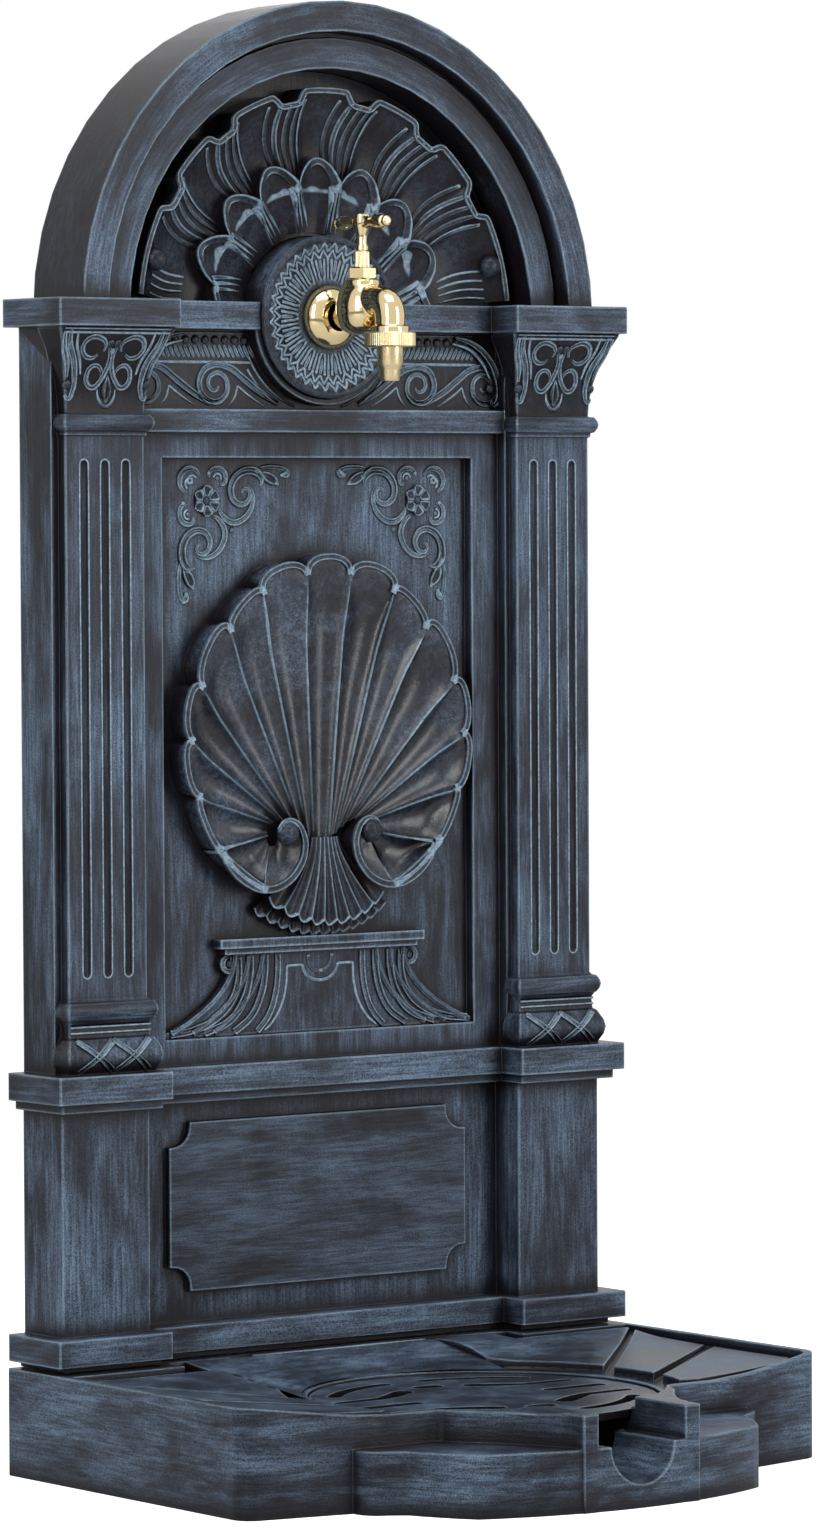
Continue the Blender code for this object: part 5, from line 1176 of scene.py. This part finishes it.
# %% Cushion ribbons
CUSHION = (261.8, 283.2)
CROSSING = 14.0
CUSHION_FACE, CUSHION_SWELL = 49.5, 4.9
CORDS_LOW, CORDS_FACE, CORD_LINES = 284.0, 47.6, (287.8, 291.6)


def cushion_front(across, up):
    if up >= CORDS_LOW:
        return CORDS_FACE
    share = clamped((up - CUSHION[0]) / (CUSHION[1] - CUSHION[0]))
    return CUSHION_FACE + CUSHION_SWELL * math.sin(math.pi * share)


def ribbon(start, end):
    low, high = CUSHION
    return "twin", [(start + (end - start) * i / 6, low + (high - low) * i / 6) for i in range(7)], 2.3


cushion_strokes = [
    ribbon(middle - lean, middle + lean) for middle in (-CROSSING, CROSSING) for lean in (-CROSSING, CROSSING)
]
cushion_strokes += [("cord", [(-31.0, up), (0.0, up), (31.0, up)], 0.8) for up in CORD_LINES]
on_both_piers("cushion_carving", cushion_front, cushion_strokes)


# %% [markdown]
# Leaf scrolls cover the capitals' corners and stand beside the frieze. Each has two lines that run down the
# flare and end in curls, with a ball between them. They overlap the capital's own front carving, so they are
# pieces of their own.

# %% Leaf scrolls
CORNER_LEAF = [
    ("twin", [(36.0, 738.0), (33.6, 728.0), (28.4, 718.0), (26.0, 708.0), (26.4, 699.0), (29.0, 694.4),
              (31.6, 697.0)],
     [1.4, 2.4, 2.6, 2.4, 2.0, 1.7, 1.0]),
    ("cord", [(30.0, 737.5), (28.2, 728.0), (23.6, 718.5), (21.4, 710.0)], [0.8, 1.3, 1.3, 0.8]),
    ("twin", [(40.0, 737.0), (37.4, 727.0), (33.0, 717.0), (31.6, 708.0)], [1.4, 2.0, 2.0, 1.0]),
]
S_LEAF = [
    ("twin", [(-113.0, 737.5), (-127.0, 733.6), (-139.0, 725.0), (-146.5, 713.0), (-148.6, 702.0),
              (-147.0, 694.5), (-143.8, 692.6), (-142.0, 695.6)],
     [1.0, 2.0, 2.4, 2.5, 2.3, 2.0, 1.6, 0.9]),
    ("cord", [(-110.0, 733.6), (-124.0, 729.8), (-134.6, 721.6), (-141.2, 711.0)], [0.7, 1.2, 1.3, 0.8]),
]


leaf_strokes = both_ways(CORNER_LEAF)
leaf_strokes += [("cord", [(-41.0, up), (0.0, up), (41.0, up)], 0.9) for up in (736.6, 739.4)]
on_both_piers("capital_leaves", capital_front, leaf_strokes, [([(-30.6, 703.4), (30.6, 703.4)], 3.0)])
mirrored(carving("scroll_leaf_left", 29.0, S_LEAF, [([(-141.6, 703.4)], 3.3)]), "scroll_leaf_right")


# %% [markdown]
# Most of the tap is turned on a lathe, so each piece is a profile of radii and heights swung round its line.
# Spin would do for the plain ones, but the bonnet's six flats and the fine teeth of the nuts change the
# radius on the way round, so the rings of points are worked out and laid on a grid like the shells.

# %% Turning
TAP_UP = 749.5
INLET_CENTRE = (0.0, 0.0, TAP_UP)
SPINDLE_CENTRE = (0.0, -77.0, TAP_UP)
OUTLET_CENTRE = (0.0, -107.5, TAP_UP)
GRIP_HEIGHT = 61.0
ROUND_STEPS, TOOTHED_STEPS, SPOUT_STEPS = 96, 384, 48
TOOTH_DEPTH = 0.30
FINE_WELD = (bpy.ops.mesh.remove_doubles, {"threshold": 0.004 * MM})


def skinned(name, rings, hollow=False):
    """A closed surface over rings of points; a hollow one joins its last ring to its first."""
    rings = [ring + ring[:1] for ring in rings]
    return grid_piece(name, [rings + rings[:1] if hollow else rings], closed=True, weld=FINE_WELD)


def lathe_rings(profile, centre, axis="up", hexagonal=(), knurled=(), teeth=60):
    """Rings of a turned piece. The rows in hexagonal become hexagons, and those in knurled get teeth."""
    steps = TOOTHED_STEPS if knurled else ROUND_STEPS
    rings = []
    for row, (radius, height) in enumerate(profile):
        ring = []
        for angle in [2.0 * math.pi * i / steps for i in range(steps)]:
            reach = radius
            if row in hexagonal:
                reach = radius / math.cos((angle % (math.pi / 3.0)) - math.pi / 6.0)
            if row in knurled:
                reach = radius - TOOTH_DEPTH * (0.5 + 0.5 * math.cos(teeth * angle))
            x, y = reach * math.cos(angle), reach * math.sin(angle)
            place = (x, height, -y) if axis == "up" else (x, y, height)
            ring.append((centre[0] + place[0], centre[2] + place[1], place[2] - centre[1]))
        rings.append(ring)
    return rings


def bent_rings(path, radii):
    """Rings round a bent line of (forward, up) that lies in the plane of symmetry."""
    rings = []
    for i, (forward, up) in enumerate(path):
        run = (Vector(path[min(len(path) - 1, i + 1)]) - Vector(path[max(0, i - 1)])).normalized()
        ring = []
        for angle in [2.0 * math.pi * k / SPOUT_STEPS for k in range(SPOUT_STEPS)]:
            across, lift = radii[i] * math.cos(angle), radii[i] * math.sin(angle)
            ring.append((across, TAP_UP + up - run.x * lift, forward + run.y * lift))
        rings.append(ring)
    return rings


def finish_metal(piece, node, body="column", angle=35.0):
    smooth(piece, angle)
    paint_with(piece, FINISHES[SLOT_OF[node]])
    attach(piece, body)
    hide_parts(node)
    print(piece.name, "points:", len(piece.data.vertices))


print("turned pieces have", ROUND_STEPS, "points a ring, toothed ones", TOOTHED_STEPS)


# %% [markdown]
# The tap's body is one casting: a bulb round the valve, a neck to the wall, a bent spout and a collar. Its
# parts are modelled as plain closed forms and a voxel remesh melts them together with the soft joins of a
# casting. The valve chamber is bored again afterwards, because the remesh closes it.

# %% Cast body
BULB = [(0.5, 23.5), (11.2, 23.5), (11.9, 20.0), (15.2, 15.0), (17.3, 8.0), (17.3, 0.0), (14.6, -7.6),
        (8.4, -11.8), (0.5, -12.9)]
NECK = [(10.4, 40.0), (8.6, 46.0), (7.8, 52.0), (9.2, 60.0), (12.0, 70.0)]
SPOUT_BEND = arc((97.0, -1.5), 10.5, 90.0, 0.0, 10)
SPOUT_PATH = [(78.0, 8.0), (84.0, 8.8), (90.0, 9.1)] + SPOUT_BEND + [(107.5, -8.5), (107.5, -15.5)]
SPOUT_RADII = [12.0, 11.4, 10.7] + [10.4 - 0.06 * i for i in range(len(SPOUT_BEND))] + [9.7, 9.7]

cast_body = joined([
    skinned("bulb", lathe_rings(rounded_line(BULB), SPINDLE_CENTRE)),
    skinned("inlet", lathe_rings([(10.4, 15.0), (10.4, 42.0)], INLET_CENTRE, "forward")),
    skinned("neck", lathe_rings(rounded_line(NECK), INLET_CENTRE, "forward")),
    skinned("spout", bent_rings(SPOUT_PATH, SPOUT_RADII)),
    skinned("collar", lathe_rings([(12.6, -15.5), (12.6, -7.5)], OUTLET_CENTRE)),
], "cast_tap_body")
apply_modifier(cast_body, "REMESH", mode="VOXEL", voxel_size=0.55 * MM)
apply_modifier(cast_body, "SMOOTH", factor=0.5, iterations=16)
chamber = skinned("chamber", lathe_rings([(9.0, 7.5), (9.0, 30.5)], SPINDLE_CENTRE))
apply_modifier(cast_body, "BOOLEAN", operation="DIFFERENCE", object=chamber, solver="EXACT")
bpy.data.objects.remove(chamber)
finish_metal(cast_body, "tap_body", angle=40.0)


# %% [markdown]
# The escutcheon, bonnet, packing nut, union nut and hose tail are hollow rings of one profile each. The T
# handle is a hub with a bar of two turned grips, and only half of the bar is written down.

# %% Turned pieces
COVER = [(9.6, 49.8), (12.5, 49.4), (16.0, 46.6), (18.6, 43.5), (19.4, 40.3), (21.0, 40.3)]
COVER += rounded_line([(21.0, 40.3), (20.7, 43.2), (18.4, 47.2), (13.6, 50.8), (9.6, 52.0)])[1:]
BONNET = [(2.3, 36.5), (3.9, 36.5), (3.9, 31.5), (7.9, 31.5), (8.5, 30.8), (8.5, 24.4), (8.1, 23.8),
          (8.7, 23.8), (8.7, 17.0), (6.5, 17.0), (6.5, 27.1), (3.9, 27.1), (3.9, 29.7), (2.3, 29.7)]
PACKING = [(2.3, 42.2), (4.2, 42.2), (4.9, 41.4), (4.9, 31.9), (4.2, 31.9), (4.2, 39.4), (2.3, 39.4)]
UNION = [(13.0, -11.5), (15.9, -11.5), (16.75, -12.3), (16.75, -20.3), (15.9, -21.1), (9.0, -21.1),
         (9.0, -19.1), (13.0, -19.1)]
TAIL = [(4.6, -17.5), (12.6, -17.5), (12.6, -18.8), (8.5, -18.8), (8.5, -32.3), (8.2, -33.0), (6.9, -35.6),
        (6.6, -36.6), (6.3, -42.4), (5.8, -43.1), (4.6, -43.1)]
HUB = [(1.6, 63.1), (3.0, 63.1), (3.0, 66.1), (5.0, 66.1), (5.7, 63.9), (5.7, 58.5), (3.6, 53.5), (3.4, 47.0),
       (4.4, 45.0), (4.4, 42.8), (2.3, 42.8), (2.3, 56.8), (1.6, 56.8)]
GRIP_SWELL = [(4.4, 4.6), (3.1, 7.4), (2.6, 9.4), (3.3, 12.6), (4.4, 16.4), (4.6, 20.4), (4.0, 23.6),
              (3.0, 25.0)]
GRIP_END = [(3.0, 25.0), (3.6, 26.2), (3.3, 28.0), (2.0, 29.0), (0.3, 29.0)]
HALF_BAR = [(2.0, 4.4), (4.4, 4.6)] + rounded_line(GRIP_SWELL)[1:] + rounded_line(GRIP_END)[1:]
BAR = [(radius, -height) for radius, height in reversed(HALF_BAR)] + HALF_BAR

cover = skinned("domed_escutcheon", lathe_rings(COVER, INLET_CENTRE, "forward"), True)
finish_metal(cover, "escutcheon")
bonnet = skinned("hexagonal_bonnet", lathe_rings(BONNET, SPINDLE_CENTRE, hexagonal=(4, 5)), True)
finish_metal(bonnet, "bonnet", angle=30.0)
packing = skinned("turned_packing_nut", lathe_rings(PACKING, SPINDLE_CENTRE, knurled=(2, 3), teeth=32), True)
finish_metal(packing, "packing_nut")
union = skinned("knurled_union_nut", lathe_rings(UNION, OUTLET_CENTRE, knurled=(2, 3), teeth=64), True)
finish_metal(union, "hose_union_nut", "hose_nut")
finish_metal(skinned("turned_hose_tail", lathe_rings(TAIL, OUTLET_CENTRE), True), "hose_tail")
grip_centre = SPINDLE_CENTRE[:2] + (TAP_UP + GRIP_HEIGHT,)
bar = skinned("bar", lathe_rings(BAR, grip_centre, "forward"))
handle = joined([bar, skinned("hub", lathe_rings(HUB, SPINDLE_CENTRE), True)], "turned_t_handle")
finish_metal(handle, "tap_handle", "handle")


# %% [markdown]
# The flutes' edges caught paint along their whole length, so each flute has a fine raised line round it. A
# bevel on the flute alone would stay too thin to show at this distance.

# %% Flute edges
FLUTE_LOW, FLUTE_HIGH, FLUTE_HALF = 322.8, 655.5, 3.3
FLUTE_PITCH, FLUTE_MIDDLE, PIER_FACE = 16.15, 490.0, 44.9


def flute_edge(middle):
    low = arc((middle, FLUTE_LOW + 3.0), FLUTE_HALF, 180.0, 360.0, 7)
    high = arc((middle, FLUTE_HIGH - 3.0), FLUTE_HALF, 0.0, 180.0, 7)
    right, left = (middle + FLUTE_HALF, FLUTE_MIDDLE), (middle - FLUTE_HALF, FLUTE_MIDDLE)
    return "cord", low + [right] + high + [left, low[0]], 0.62


on_both_piers("flute_edges", PIER_FACE, [flute_edge(step * FLUTE_PITCH) for step in (-1, 0, 1)])


# %% [markdown]
# The basin's top is finer than the frame: three draining tiles on each side stand above the grooves between
# them, and behind the grate a slope runs up to the foot of the wall. Each tile is a grid between its inner
# edge at the grate and its outer edge at the rim, with its rows carried down at the sides.

# %% Draining tiles and slope
GRATE_MIDDLE = (0.0, -203.0)
TILE_SIDE, TILE_FLOOR, TILE_STEPS = 219.4, 50.0, 12
TILE_LOW, TILE_FALL, FALL_START = 59.6, 0.058, 128.0
TILE_HIGH, RISE_SPAN, LEDGE = 69.6, (-112.0, -66.0), -75.0
SLOPE_BACK, SLOPE_REACH, SLOPE_TOP, SLOPE_FALL = -44.6, 117.0, 69.9, 14.2
SLOPE_LEFT, SLOPE_RIGHT = -116.0, 82.0
TILE_INNER = [
    arc(GRATE_MIDDLE, 133.0, 52.0, 16.0, 13), arc(GRATE_MIDDLE, 130.0, 11.5, -6.0, 9),
    arc(GRATE_MIDDLE, 130.0, -11.0, -24.0, 7),
]
TILE_OUTER = [
    [(across, SLOPE_BACK) for across in (78.0, 100.0, 124.6)]
    + [(across, LEDGE) for across in (124.8, 150.0, 180.0, 200.0, 210.0, 215.0)]
    + [(218.0, -75.2), (TILE_SIDE, -76.0), (TILE_SIDE, -77.0), (TILE_SIDE, -78.0)],
    [(TILE_SIDE, -84.0 - 9.25 * i) for i in range(9)],
    [(TILE_SIDE, -168.0), (TILE_SIDE, -205.0), (TILE_SIDE, -246.0), (207.0, -255.0), (180.0, -261.0),
     (155.0, -264.0), (128.0, -264.0)],
]


def tile_top(across, along):
    low = TILE_LOW + (math.hypot(across, along - GRATE_MIDDLE[1]) - FALL_START) * TILE_FALL
    return low + (TILE_HIGH - low) * ease(along, *RISE_SPAN)


def slope_front(across):
    return GRATE_MIDDLE[1] + math.sqrt(max(0.0, SLOPE_REACH ** 2 - across ** 2))


def slope_top(across, along):
    """The even slope from the wall's foot to the ring, which also covers the left corner of the top."""
    share = (SLOPE_BACK - along) / (SLOPE_BACK - slope_front(across))
    return SLOPE_TOP - SLOPE_FALL * clamped(share)


def tile_grid(inner, outer, side, height):
    top = []
    for share in [step / TILE_STEPS for step in range(TILE_STEPS + 1)]:
        places = [blend(near, far, share) for near, far in zip(inner, outer)]
        top.append([(side * across, height(across, along), -along) for across, along in places])
    rows = [[(across, TILE_FLOOR, front) for across, _, front in top[0]]] + top
    rows.append([(across, TILE_FLOOR, front) for across, _, front in top[-1]])
    for row in rows:
        row.insert(0, (row[0][0], TILE_FLOOR, row[0][2]))
        row.append((row[-1][0], TILE_FLOOR, row[-1][2]))
    return rows


def slope_row(share):
    row = []
    for across in [SLOPE_LEFT + (SLOPE_RIGHT - SLOPE_LEFT) * i / 32 for i in range(33)]:
        along = SLOPE_BACK + (slope_front(across) - SLOPE_BACK) * share
        row.append((across, slope_top(across, along) + 0.05, -along))
    return row


tiles = []
for place, (inner, outer) in enumerate(zip(TILE_INNER, TILE_OUTER)):
    tiles.append(tile_grid(inner, outer, 1.0, tile_top))
    tiles.append(tile_grid(inner, outer, -1.0, slope_top if place == 0 else tile_top))
pieces = [
    grid_piece("draining_tiles", tiles),
    grid_piece("slope_behind_grate", [[slope_row(step / 12) for step in range(13)]]),
]
for piece in pieces:
    finish_carving(piece, slanting_paint)
    apply_modifier(piece, "BEVEL", width=0.6 * MM, segments=2, limit_method="ANGLE",
                   angle_limit=math.radians(40.0))
    print(piece.name, "points:", len(piece.data.vertices))


# %% [markdown]
